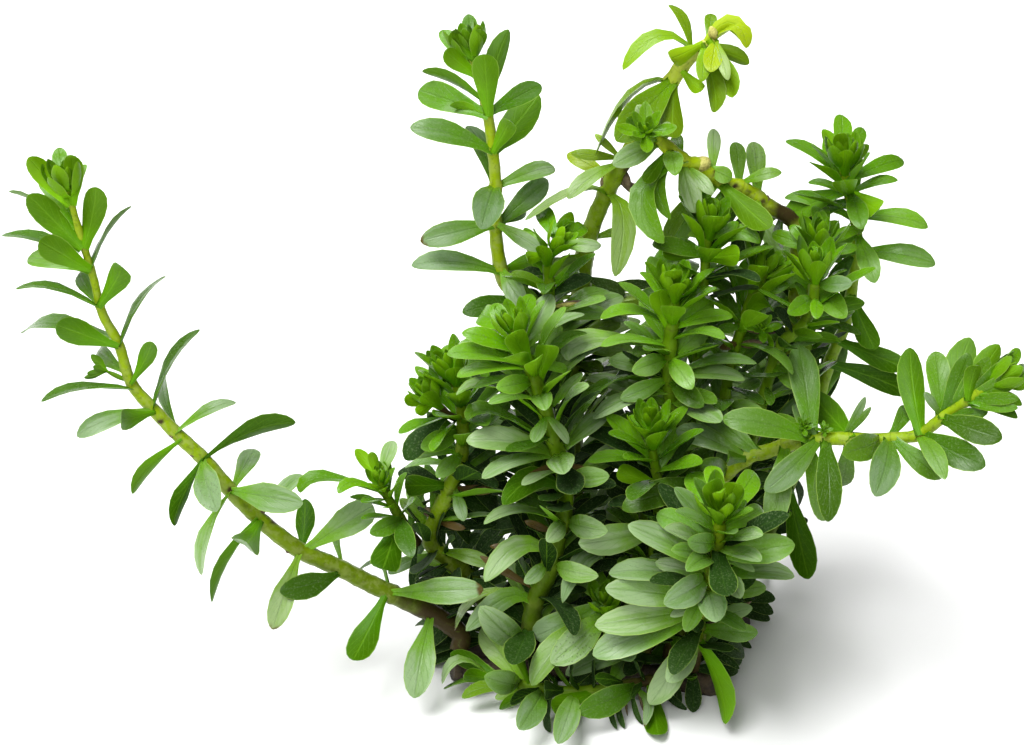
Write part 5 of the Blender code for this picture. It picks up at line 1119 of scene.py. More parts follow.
# Older leaves on the lower stretch of each shoot, up to this height in the view
FILLED_BELOW = {
    "back_left_shoot": 74, "small_left_shoot": 76, "nodding_shoot": 72, "arched_shoot": 80,
    "back_right_shoot": 60, "right_upper_shoot": 84, "centre_back_shoot": 84, "right_mid_shoot": 76,
    "right_inner_shoot": 74, "centre_shoot": 72, "centre_left_shoot": 62, "left_shoot": 52, "right": 34,
    "front_shoot": 30, "small_front_shoot": 44, "low_front_shoot": 14, "creeping_shoot": 6,
    "left_side_shoot": 56, "left_low_shoot": 36,
}
FILL_SPACING = 4.4
FILL_TURN = 0.95
# "h" marks a leaf in the hidden, darkest part of the clump, painted with deep shade; "k" marks a leaf painted
# darker with shade
FILL_LOOKS = ("h", "k", "", "", "")
DEEP_LOOKS = ("h", "h", "h", "h", "k", "")
DEEP_BELOW = 46.0

# The dense part of the clump, as (across, up) corners of its outline in the view
DENSE_OUTLINE = [
    (-19, 73), (-12, 86), (-6, 84), (-2, 79), (6, 77), (13, 79), (15, 88), (18, 95), (24, 97), (38, 94),
    (52, 86), (54, 74), (49, 62), (43, 48),
    (41, 34), (36, 24), (33, 14), (29, 2), (22, -5), (6, -10), (-12, -8), (-28, -4), (-33, 8), (-36, 22),
    (-37, 40), (-33, 54), (-27, 63),
]


def is_inside(across, up):
    """Whether a place of the view lies inside the outline of the clump's dense part."""
    inside = False
    for (a, b), (c, d) in zip(DENSE_OUTLINE, DENSE_OUTLINE[1:] + DENSE_OUTLINE[:1]):
        if (b > up) != (d > up) and across < (c - a) * (up - b) / (d - b) + a:
            inside = not inside
    return inside


FILL_CLEARANCE = 0.06


def is_lifted(corners):
    """Whether all corners keep clear of the plane that the clump stands on."""
    return min(corner.z for corner in corners) >= GROUND_GAP


def finds_room(clump, leaf, owner):
    """Whether a leaf lies in the dense part, off the ground and clear of all but its owner's stem."""
    outline = leaf.outline(FILL_CLEARANCE, 0.25)
    if not is_lifted(outline[0]) or not is_inside(*seen_at(leaf.tip)[:2]):
        return False
    return not clump.is_hit(*outline, {(owner, "stem")})


# Whorls of old leaves are tried from the foot of a stem up, each leaf a few times with new numbers drawn
# from these ranges: length, lean in degrees, width and bow as shares of the length
FIRST_FILL = 3.0
UNFILLED_TIP = 9.0
FILL_WHORL = 4
FILL_ATTEMPTS = 6
LONG_ATTEMPTS = 3
SHORTENED = 0.7
FILL_LENGTHS = (10.0, 17.0)
FILL_LEANS = (34, 84)
FILL_WIDTHS = (0.27, 0.36)
FILL_BOWS = (-0.06, 0.12)


def lower_leaves(clump, name, stem, chance):
    """Old leaves along the lower stem at all angles, wherever there is room for one."""
    leaves = []
    distance = FIRST_FILL
    turn = chance.uniform(0.0, 2.0)
    while distance < stem.length - UNFILLED_TIP:
        _, up, _ = seen_at(stem.at(distance)[0])
        if up > FILLED_BELOW.get(name, -math.inf):
            break
        looks = DEEP_LOOKS if up < DEEP_BELOW else FILL_LOOKS
        turn += FILL_TURN
        for index in range(FILL_WHORL):
            for attempt in range(FILL_ATTEMPTS):
                place_on_stem = distance + chance.uniform(-1.6, 1.6)
                angle = turn + math.tau * index / FILL_WHORL + chance.uniform(-0.5, 0.5)
                length = chance.uniform(*FILL_LENGTHS)
                if attempt >= LONG_ATTEMPTS:
                    length *= SHORTENED
                leaf = leaf_about(
                    stem, place_on_stem, angle, chance.uniform(*FILL_LEANS), length,
                    length * chance.uniform(*FILL_WIDTHS), chance.uniform(*FILL_BOWS),
                )
                if finds_room(clump, leaf, name):
                    clump.add(name, "leaf", *leaf.outline())
                    leaves.append(aged(leaf, name, stem, distance, chance.choice(looks)))
                    break
        distance += FILL_SPACING
    return leaves


BASAL_SPACING = 3.2
BASAL_RISES = (0.12, 1.1)
BASAL_LENGTHS = (8.5, 14.0)
BASAL_WIDTH = 0.35
BASAL_BOW = 0.08
# Basal leaves mostly get painted shade, by "k" and "h"
BASAL_LOOKS = ("k", "s", "h", "h")


def basal_leaves(clump, chance):
    """Old leaves that spring from the rootstock itself, at all sides and upward."""
    leaves = []
    for knots in ROOTSTOCK_ARMS:
        line = smooth_line([Vector(knot) for knot in knots], Stem.STEPS)
        travelled = 0.0
        for before, after in zip(line, line[1:]):
            travelled += (after - before).length
            if travelled < BASAL_SPACING:
                continue
            travelled = 0.0
            along = (after - before).normalized()
            for _ in range(FILL_ATTEMPTS):
                heading = chance.uniform(0.0, 2.0 * math.pi)
                rise = chance.uniform(*BASAL_RISES)
                run = Vector((math.cos(heading), math.sin(heading), rise)).normalized()
                if abs(run.dot(along)) > 0.9:
                    continue
                length = chance.uniform(*BASAL_LENGTHS)
                foot = after + run * (ROOTSTOCK_RADIUS * SKIN_SHARE)
                upper = Vector((0.0, 0.0, 1.0)) + run * 0.01
                leaf = FreeLeaf(foot, foot + run * length, upper, length * BASAL_WIDTH, BASAL_BOW)
                if finds_room(clump, leaf, "rootstock"):
                    clump.add("rootstock", "leaf", *leaf.outline())
                    leaf.age, leaf.look = 1.0, chance.choice(BASAL_LOOKS)
                    leaves.append(leaf)
    return leaves


# See-through gaps in the dense part are searched on this grid, and closed from stems this far off
GAP_GRID = 0.8
REACH_TO_GAP = 15.0
HIDDEN_DEPTHS = (0.0, -3.0, 3.0, -6.0, -9.0)


LEAST_HIDDEN = -5.0


SIGHT_REACH = 60.0


def seen_through(trees, across, up):
    """Whether a line of sight passes the whole clump without meeting anything."""
    near = on_view_ray(across, up, SIGHT_REACH)
    sight = (on_view_ray(across, up, -SIGHT_REACH) - near).normalized()
    return all(tree.ray_cast(near, sight, 2.0 * SIGHT_REACH)[0] is None for tree in trees)


# Gaps are closed from stems of the dense part, from below their tips and not from right behind the gap
FREE_STANDING = ("runner", "back_left_shoot")
BARE_TIP = 6.0
LEAST_AWAY = 2.0
GAP_TRIES = 5
LEAST_GAP_LEAF = 8.0
PAST_GAP = 2.5
GAP_LEAF_WIDTHS = (0.42, 0.2)
GAP_LEAF_TURN = 0.8
GAP_LEAF_BOW = 0.05
GAP_LOOKS = ("h", "k", "")


def gap_starts(shoots, across, up, chance):
    """The places on stems from which a leaf could reach a gap, the nearest ones first."""
    starts = []
    for name, (stem, _, _) in shoots.items():
        if name in FREE_STANDING:
            continue
        distance = stem.nearest(across, up - chance.uniform(-3.0, 3.0))
        if distance > stem.length - BARE_TIP:
            continue
        seen_across, seen_up, near = seen_at(stem.at(distance)[0])
        away = math.hypot(seen_across - across, seen_up - up)
        if LEAST_AWAY < away < REACH_TO_GAP:
            starts.append((away, name, distance, near))
    return sorted(starts)[:GAP_TRIES]


def gap_leaf(clump, shoots, across, up, chance):
    """An old leaf from the nearest stem across a see-through gap, mostly darkened with painted shade."""
    for _, name, distance, near in gap_starts(shoots, across, up, chance):
        stem = shoots[name][0]
        point, tangent, _ = stem.at(distance)
        for depth in HIDDEN_DEPTHS:
            target = on_view_ray(across, up, near + depth)
            run = (target - point).normalized()
            foot = point + run * stem.radius(distance) * SKIN_SHARE
            length = max(LEAST_GAP_LEAF, (target - foot).length + PAST_GAP)
            for share in GAP_LEAF_WIDTHS:
                upper = tangent + TOWARD * GAP_LEAF_TURN
                leaf = FreeLeaf(foot, foot + run * length, upper, length * share, GAP_LEAF_BOW)
                outline = leaf.outline(0.02, 0.3)
                if not is_lifted(outline[0]):
                    continue
                if depth < LEAST_HIDDEN or not clump.is_hit(*outline, {(name, "stem")}):
                    clump.add(name, "leaf", *leaf.outline())
                    look = chance.choice(GAP_LOOKS) if up > DEEP_BELOW else "h"
                    return name, aged(leaf, name, stem, distance, look)
    return None


def close_gaps(clump, shoots, leaves, chance):
    """Old leaves inside the clump, mostly darkened with painted shade, wherever one would look right through
    it.
    """
    trees = [clump.whole_tree()]
    lows = [min(corner[i] for corner in DENSE_OUTLINE) for i in range(2)]
    highs = [max(corner[i] for corner in DENSE_OUTLINE) for i in range(2)]
    for row in range(int((highs[1] - lows[1]) / GAP_GRID)):
        for column in range(int((highs[0] - lows[0]) / GAP_GRID)):
            across, up = lows[0] + column * GAP_GRID, lows[1] + row * GAP_GRID
            if not is_inside(across, up) or not seen_through(trees, across, up):
                continue
            found = gap_leaf(clump, shoots, across, up, chance)
            if found:
                name, leaf = found
                leaves[name].append(leaf)
                trees.append(BVHTree.FromPolygons(*leaf.outline()))


LAYOUT_SEED = 7
ROOTSTOCK_SEED = 3


@cache
def layout():
    """Every stem and leaf in its place, worked out once in the same order as in the model."""
    clump = Clump()
    for knots in ROOTSTOCK_ARMS:
        clump.add("rootstock", "stem", *rootstock_arm(knots))
    shoots, apart, leaves = {}, {}, {}
    for name, spec in {**LONG_SHOOTS, **SHOOTS}.items():
        stem = Stem(spec)
        whorls = whorls_of(stem, spec["leaves"])
        corners, faces, sides = stem_cage(stem, whorls)
        clump.add(name, "stem", corners, faces)
        shoots[name] = (stem, whorls, sides)
    for name, spec in LONG_SHOOTS.items():
        made = 0
        for row in spec["separate_leaves"]:
            leaf = leaf_apart(clump, name, shoots[name][0], row)
            if leaf:
                made += 1
                apart[f"{name}_leaf_{made:02d}"] = leaf
    for name, shoot in shoots.items():
        leaves[name] = leaves_on(clump, name, *shoot)
    chance = random.Random(LAYOUT_SEED)
    for name, (stem, _, _) in shoots.items():
        leaves[name] += tip_rosette(clump, name, stem, chance) + extra_leaves(name, stem)
    for name, (stem, _, _) in shoots.items():
        leaves[name] += lower_leaves(clump, name, stem, chance)
    leaves["rootstock"] = basal_leaves(clump, chance)
    close_gaps(clump, shoots, leaves, chance)
    return {"stems": {name: shoot[:2] for name, shoot in shoots.items()}, "apart": apart, "leaves": leaves}


# Small helpers for modelling


def deselect_all():
    for obj in bpy.context.selected_objects:
        obj.select_set(False)


def make_active(obj):
    deselect_all()
    obj.select_set(True)
    bpy.context.view_layer.objects.active = obj


def join_all(objects, name):
    """Joins objects in one and gives it its name."""
    deselect_all()
    for obj in objects:
        obj.select_set(True)
    bpy.context.view_layer.objects.active = objects[0]
    if len(objects) > 1:
        bpy.ops.object.join()
    whole = bpy.context.view_layer.objects.active
    whole.name = name
    whole.data.name = name
    return whole


def close_doubles(apart=0.00001):
    """Merges the active mesh's doubled points."""
    bpy.ops.object.mode_set(mode="EDIT")
    bpy.ops.mesh.select_all(action="SELECT")
    bpy.ops.mesh.remove_doubles(threshold=apart)
    bpy.ops.object.mode_set(mode="OBJECT")


def link_object(name, data):
    made = bpy.data.objects.new(name, data)
    bpy.context.scene.collection.objects.link(made)
    return made


def coordinates(mesh):
    flat = np.empty(len(mesh.vertices) * 3, dtype=np.float32)
    mesh.vertices.foreach_get("co", flat)
    return flat.reshape(-1, 3).astype(float)


def set_coordinates(mesh, places):
    mesh.vertices.foreach_set("co", np.asarray(places, dtype=np.float32).ravel())
    mesh.update()


def set_lifted(mesh, places):
    """Sets places given in millimetres, none of them lower than the ground."""
    places[:, 2] = np.maximum(places[:, 2], LOWEST)
    set_coordinates(mesh, places * MM)


def set_point_value(mesh, name, values):
    attribute = mesh.attributes.get(name) or mesh.attributes.new(name, "FLOAT", "POINT")
    if np.isscalar(values):
        values = np.full(len(mesh.vertices), values)
    attribute.data.foreach_set("value", np.asarray(values, dtype=np.float32))


# The leaf, modelled flat once: rows of (share of the length, share of the full width)
LEAF_ROWS = [
    (0, 0.36), (0.15, 0.43), (0.33, 0.7), (0.51, 0.94), (0.66, 1), (0.8, 0.89), (0.91, 0.63),
    (0.975, 0.32), (1, 0.06),
]
YOUNG_POINTEDNESS = 0.22
LEAF_COLUMNS = 4
MASTER_NAME = "leaf_master"


def make_master():
    """A flat spoon-shaped leaf, one unit long and one wide: two skins that meet at a sharp rim."""
    deselect_all()
    rows = len(LEAF_ROWS) - 1
    bpy.ops.mesh.primitive_grid_add(x_subdivisions=LEAF_COLUMNS, y_subdivisions=rows, size=1.0)
    master = bpy.context.object
    master.name = MASTER_NAME
    mesh = master.data
    places = coordinates(mesh)
    row_of = np.rint((places[:, 1] + 0.5) * rows).astype(int)
    for row, (along, share) in enumerate(LEAF_ROWS):
        chosen = row_of == row
        places[chosen, 0] *= share
        places[chosen, 1] = along
    set_coordinates(mesh, places)
    bpy.ops.object.mode_set(mode="EDIT")
    bpy.ops.mesh.select_all(action="SELECT")
    bpy.ops.mesh.duplicate()
    bpy.ops.mesh.flip_normals()
    bpy.ops.object.mode_set(mode="OBJECT")
    places = coordinates(mesh)
    widest = np.interp(places[:, 1], *zip(*LEAF_ROWS)) / 2.0
    inside = (np.abs(places[:, 0]) < widest - 0.01) & (places[:, 1] > 0.01) & (places[:, 1] < 0.99)
    skin = np.where(np.arange(len(places)) < len(places) // 2, 1.0, -1.0)
    places[:, 2] = np.where(inside, skin, 0.0)
    set_coordinates(mesh, places)
    for index, polygon in enumerate(mesh.polygons):
        polygon.material_index = 0 if index < len(mesh.polygons) // 2 else 1
        polygon.use_smooth = True
    close_doubles(0.0001)
    flat = np.abs(coordinates(mesh)[:, 2]) < 0.01
    for edge in mesh.edges:
        edge.use_edge_sharp = bool(flat[edge.vertices[0]] and flat[edge.vertices[1]])


# How leaves are formed: twist to either side, depth of the cup and of the midrib's groove and height of
# the wave as shares of the width, and how far the outer part curves back as a share of the length
TWIST = 0.22
EDGE_ON_TWIST = 1.4
YOUNG_CUP = 0.16
GROWN_CUPS = (0.03, 0.13)
MIDRIB_DEPTH = 0.045
DEEPEST_WAVE = 0.04
WAVES = (6, 11)
STRONGEST_RECURVE = 0.45
RECURVED_FROM = 0.62
# How far a foot is sunk into its stem, and how thin young leaves are against grown ones
YOUNG_INWARD = 0.2
GROWN_INWARD = 1.0
YOUNG_THINNESS = 0.6


def column(values):
    """A list of numbers as one column, to be multiplied with rows of coordinates."""
    return values[:, None]


def bent_places(flat, leaf, chance):
    """The master's places bent onto a leaf's bowed line, cupped, channelled and turned."""
    along, across, skin = flat[:, 1], flat[:, 0], flat[:, 2]
    foot, control, tip = (np.array(point) for point in (leaf.foot, leaf.control, leaf.tip))
    young = "T" in leaf.look
    inward = YOUNG_INWARD if young else GROWN_INWARD
    foot = foot - (control - foot) / max(leaf.length, 1.0) * inward
    rest = 1.0 - along
    centre = foot * column(rest**2) + control * column(2 * rest * along) + tip * column(along**2)
    run = (control - foot) * column(rest) + (tip - control) * column(along)
    run /= column(np.linalg.norm(run, axis=1))
    sideways = -np.array(leaf.sideways)
    side = sideways[None, :] - run * column(run @ sideways)
    side /= column(np.linalg.norm(side, axis=1))
    lift = np.cross(side, run)
    twist = chance.uniform(-TWIST, TWIST) * along * (EDGE_ON_TWIST if "E" in leaf.look else 1.0)
    turned = side * column(np.cos(twist)) + lift * column(np.sin(twist))
    lift = lift * column(np.cos(twist)) - side * column(np.sin(twist))
    width = leaf.full_width
    if young:
        across = across * (1.0 - YOUNG_POINTEDNESS * np.clip((along - 0.55) / 0.45, 0.0, 1.0))
    across = across * (1.0 + (leaf.foot_share - 1.0) * np.clip(1.0 - along / 0.5, 0.0, 1.0))
    share = 2.0 * across
    cup = (YOUNG_CUP if young else chance.uniform(*GROWN_CUPS)) * width * share**2
    trough = np.where(np.abs(across) < 0.02, -MIDRIB_DEPTH * width, 0.0) * np.minimum(1.0, rest * 3.0)
    recurve = 0.0 if young else chance.uniform(0.0, STRONGEST_RECURVE)
    droop = -recurve * leaf.length * np.maximum(0.0, along - RECURVED_FROM) ** 2
    wave = chance.uniform(0.0, DEEPEST_WAVE) * width
    wave = wave * np.sin(along * chance.uniform(*WAVES) + chance.uniform(0, 6)) * share
    thickness = bpy.context.scene.rotala_sizes.leaf_thickness / MM
    thickness = thickness * (1.25 - 0.75 * along) * (YOUNG_THINNESS if young else 1.0)
    height = cup + trough + droop + wave + skin * thickness / 2.0
    return centre + turned * column(across * width) + lift * column(height)


# How much painted silvery sheen the grown leaves of a shoot get where nothing else is said, from 0 to 1
PAINTED_SHEEN_BY_SHOOT = {
    "runner": 0.75, "front_shoot": 0.85, "back_left_shoot": 0.85, "creeping_shoot": 0.35, "right": 0,
    "nodding_shoot": 0.15, "low_front_shoot": 0.4, "centre_left_shoot": 0.75, "back_right_shoot": 0.2,
    "small_front_shoot": 0.5, "centre_shoot": 0.65, "small_left_shoot": 0.45,
}
LEAST_PAINTED_SHEEN = 0.18
# Dark leaves get painted shade, below 0; on the front shoot a little painted sheen instead
DARK_LEAF_SHEEN_AND_SHADE = {"front_shoot": 0.2, "creeping_shoot": -0.7}
# How much more painted sheen a leaf gets as its upper side turns to face up
PAINTED_SHEEN_FACING_UP = 0.9

# How yellow the leaves of a shoot are where nothing else is said
YELLOWNESS = {"nodding_shoot": 0.35, "arched_shoot": 0.15, "right": 0.1}


def painted_sheen_and_shade(shoot, leaf, chance):
    """Painted sheen above 0 and painted shade below it. Leaves that face up are more silvery than those
    that stand upright; dark, hidden and edge-on leaves get painted shade.
    """
    if "h" in leaf.look:
        return -1.0
    if "k" in leaf.look:
        return DARK_LEAF_SHEEN_AND_SHADE.get(shoot, -1.0)
    if "p" in leaf.look:
        return 1.0
    if "E" in leaf.look:
        # Edge-on leaves get painted shade
        return -0.6
    facing_up = abs(leaf.upper.z) - 0.45
    return PAINTED_SHEEN_BY_SHOOT.get(shoot, LEAST_PAINTED_SHEEN) + PAINTED_SHEEN_FACING_UP * facing_up + chance.uniform(-0.2, 0.3)


def yellowness(shoot, leaf, chance):
    if "y" in leaf.look:
        return 1.0 if shoot == "nodding_shoot" else 0.3
    if "q" in leaf.look:
        return 0.6
    return YELLOWNESS.get(shoot, 0.0) + chance.uniform(0.0, 0.12)


# Painted light and shade on the leaves of a shoot: how much lighter (above 0) or darker they are
SHADES = {
    "right": -1.1, "back_left_shoot": -0.3, "centre_left_shoot": 1.1, "centre_shoot": 1.1,
    "front_shoot": 0.8, "small_front_shoot": 0.6, "small_left_shoot": 0.6, "runner": 0.1,
}
LEAST_SHADE = 0.25


def shade(shoot, leaf, chance):
    """A random tone of the leaf, shifted by its shoot's painted light and shade. Below -1 a leaf is
    a hidden one, deep in the clump, and gets painted deep shade.
    """
    if "h" in leaf.look:
        return chance.uniform(-1.9, -1.4)
    return max(-1.0, chance.uniform(-1.0, 1.0) + SHADES.get(shoot, LEAST_SHADE))


# How wide the feet of a shoot's leaves are against those of the copied leaf
FOOT_SHARES = {"runner": 0.62, "front_shoot": 1.3, "right": 1.15, "small_front_shoot": 1.2}
YOUNG_FOOT_SHARE = 1.25
LOWEST = 0.05


YOUNG_AND_GROWN = (0.15, 0.6)
SPECKLES = (-0.7, 0.35)


def leaf_object(name, shoot, leaf, chance):
    """A copy of the master leaf, bent into its place and marked with its own looks."""
    mesh = bpy.data.objects[MASTER_NAME].data.copy()
    mesh.name = name
    leaf.foot_share = FOOT_SHARES.get(shoot, 1.0)
    if shoot in LONG_SHOOTS:
        shares = (YOUNG_FOOT_SHARE, leaf.foot_share)
        leaf.foot_share = float(np.interp(leaf.age, YOUNG_AND_GROWN, shares))
    set_lifted(mesh, bent_places(coordinates(mesh), leaf, chance))
    values = {
        "age": leaf.age,
        # vary: a random tone of each leaf, shifted by its shoot's painted light and shade; below -1 painted
        # deep shade
        "vary": shade(shoot, leaf, chance),
        "yellow": yellowness(shoot, leaf, chance),
        # pale: painted sheen above 0 and painted shade below it
        "pale": painted_sheen_and_shade(shoot, leaf, chance),
        "brown": 2.0 if "w" in leaf.look else 1.0 if "b" in leaf.look else 0.0,
        "speckle": 1.0 if "s" in leaf.look else max(0.0, chance.uniform(*SPECKLES)) * leaf.age,
    }
    for value, number in values.items():
        set_point_value(mesh, value, number)
    return link_object(name, mesh)


# How yellow each stem is at its foot, at three quarters and at its tip: 0 is leaf green, above 1 pale
STEM_YELLOW = {
    "runner": (0.25, 0.65, 0.8), "right": (0.5, 0.55, 0.5), "nodding_shoot": (0.3, 0.45, 1.6),
    "arched_shoot": (0.4, 0.8, 1.0), "back_left_shoot": (0.5, 0.8, 0.85), "front_shoot": (0.45, 0.45, 0.45),
    "back_right_shoot": (0.1, 0.3, 0.45), "left_shoot": (0.35, 0.35, 0.35),
}
LEAST_STEM_YELLOW = (0.1, 0.1, 0.1)

# Brown marks on the stems: (across, up, radius)
BROWN_MARKS = {
    "arched_shoot": [
        (39.5, 92.5, 3), (25.2, 100.6, 0.8), (29.2, 97.8, 0.6), (31.5, 96.6, 0.6), (34.5, 94.6, 0.8),
    ],
    "nodding_shoot": [(8.2, 97.5, 1.6), (7.8, 102, 1.6)],
    "runner": [(-63, 31, 0.8), (-86, 51, 0.7), (-72, 37.2, 0.8), (-49, 16, 1.2), (-36, 9.5, 2.5)],
}
BROWN_FOOT = 11.0
LONG_BROWN_FEET = {"runner": 26.0}
STEM_WIDER = {
    "nodding_shoot": 1.3, "arched_shoot": 1.35, "right": 1.12, "back_left_shoot": 1.25,
    "centre_left_shoot": 1.22, "centre_shoot": 1.2, "small_left_shoot": 1.2,
}
TIP_TAPER = {"runner": 0.62, "right": 0.9, "back_left_shoot": 0.8}


# Stems: spacing of their rings, reach of the swelling and of the pale ring at each node
STEM_STEP = 0.8
SWELL_REACH = 0.9
MOST_SWOLLEN = 1.3
RING_REACH = 0.7
MARK_STRENGTH = 0.9


def tube(name, line, radii, rounding):
    """A closed round tube along a line, with its radius at each place, all in millimetres."""
    curve = bpy.data.curves.new(name, "CURVE")
    curve.dimensions = "3D"
    curve.bevel_depth = 1.0
    curve.bevel_resolution = rounding
    curve.use_fill_caps = True
    spline = curve.splines.new("POLY")
    spline.points.add(len(line) - 1)
    for point, here, radius in zip(spline.points, line, radii):
        point.co = (*(here * MM), 1.0)
        point.radius = radius * MM
    make_active(link_object(name, curve))
    bpy.ops.object.convert(target="MESH")
    close_doubles()
    return bpy.context.object


def near_nodes(distances, nodes, reach):
    """How near each distance along a stem is to each of its nodes: 1 at the node, fading with reach."""
    return [np.exp(-(((distances - node) / reach) ** 2)) for node in nodes]


def stem_object(name, shoot, stem, whorls):
    """A stem as a smooth tube that swells at every whorl of leaves."""
    count = max(8, int(stem.length / STEM_STEP))
    along = stem.length * np.arange(count + 1) / count
    nodes = [centre for centre, _ in whorls]
    swell = np.minimum(sum(near_nodes(along, nodes, SWELL_REACH)), MOST_SWOLLEN)
    wander = 0.03 * np.sin(along * 1.7 + stem.length) + 0.02 * np.sin(along * 4.1)
    taper = np.interp(along / stem.length, (0.6, 1.0), (1.0, TIP_TAPER.get(shoot, 1.0)))
    taper *= STEM_WIDER.get(shoot, 1.0)
    radii = [stem.radius(distance) for distance in along] * taper
    radii *= 1.0 + bpy.context.scene.rotala_sizes.node_swelling * swell + wander
    line = [stem.at(distance)[0] for distance in along]
    made = tube(name, line, radii, 2)
    mesh = made.data
    gaps = coordinates(mesh)[:, None, :] - np.array([here * MM for here in line])[None, :, :]
    distances = np.argmin(np.linalg.norm(gaps, axis=2), axis=1) * stem.length / count
    set_point_value(mesh, "age", 1.0 - distances / stem.length)
    yellows = STEM_YELLOW.get(shoot, LEAST_STEM_YELLOW)
    set_point_value(mesh, "vary", np.interp(distances / stem.length, (0.0, 0.75, 1.0), yellows))
    brown = np.clip(1.0 - distances / LONG_BROWN_FEET.get(shoot, BROWN_FOOT), 0.0, 1.0)
    seen = np.array([seen_at(Vector(corner) / MM)[:2] for corner in coordinates(mesh)])
    for across, up, radius in BROWN_MARKS.get(shoot, []):
        off = np.hypot(seen[:, 0] - across, seen[:, 1] - up)
        brown = np.maximum(brown, MARK_STRENGTH * np.exp(-((off / radius) ** 2)))
    set_point_value(mesh, "brown", brown)
    rings = np.max([np.zeros(len(distances)), *near_nodes(distances, nodes, RING_REACH)], axis=0)
    set_point_value(mesh, "yellow", rings)
    for polygon in mesh.polygons:
        polygon.use_smooth = True
        polygon.material_index = 2
    return made


DROP_NAME = "drop_master"
STALK_RADIUS = 0.9


DROP_NARROWING = 0.35


def make_drop_master():
    """A small drop, one unit from end to end, that buds, stubs and rootlets are copies of."""
    deselect_all()
    bpy.ops.mesh.primitive_uv_sphere_add(segments=10, ring_count=7, radius=1.0)
    master = bpy.context.object
    master.name = DROP_NAME
    places = coordinates(master.data)
    places[:, :2] *= column(1.0 - DROP_NARROWING * np.clip(places[:, 2], 0.0, 1.0))
    places[:, 2] = (places[:, 2] + 1.0) / 2.0
    set_coordinates(master.data, places)
    for polygon in master.data.polygons:
        polygon.use_smooth = True


def drop_ends(stem, row):
    """The ends of a drop that the view places, the first one on the stem."""
    across, up, end_across, end_up, _, _, nearer = row
    distance = stem.nearest(across, up)
    near = seen_at(stem.at(distance)[0])[2] + nearer
    return on_stem(stem, distance, on_view_ray(across, up, near)), on_view_ray(end_across, end_up, near)


def drop_object(name, start, end, radius, material):
    """A copy of the drop between two places."""
    run = end - start
    mesh = bpy.data.objects[DROP_NAME].data.copy()
    mesh.name = name
    turned = run.to_track_quat("Z", "Y").to_matrix()
    places = coordinates(mesh) * np.array([radius, radius, run.length])
    set_lifted(mesh, places @ np.array(turned).T + np.array(start))
    made = link_object(name, mesh)
    dress(made, material)
    return made


# Materials


def new_group(name, inputs, outputs, kind="NodeSocketFloat"):
    """An empty group: inputs as {name: default}, outputs as names of one kind."""
    group = bpy.data.node_groups.new(name, "ShaderNodeTree")
    for socket, value in inputs.items():
        number = "NodeSocketFloat" if isinstance(value, float) else "NodeSocketColor"
        group.interface.new_socket(socket, in_out="INPUT", socket_type=number).default_value = value
    for socket in outputs:
        group.interface.new_socket(socket, in_out="OUTPUT", socket_type=kind)
    n = Nodes(group)
    return group, n, n.wrapped(n.add("NodeGroupInput")), n.add("NodeGroupOutput")


STREAK_JUMP = 23.0


class Field:
    """A number or colour that changes over the surface, so that sums of fields read as sums."""

    def __init__(self, nodes, socket):
        self.nodes, self.socket = nodes, socket

    def __add__(self, other):
        return self.nodes.math("ADD", self, other)

    def __sub__(self, other):
        return self.nodes.math("SUBTRACT", self, other)

    def __rsub__(self, other):
        return self.nodes.math("SUBTRACT", other, self)

    def __mul__(self, other):
        return self.nodes.math("MULTIPLY", self, other)

    def larger(self, other):
        return self.nodes.math("MAXIMUM", self, other)

    def clamped(self):
        """The same sum, kept from 0 to 1."""
        self.socket.node.use_clamp = True
        return self


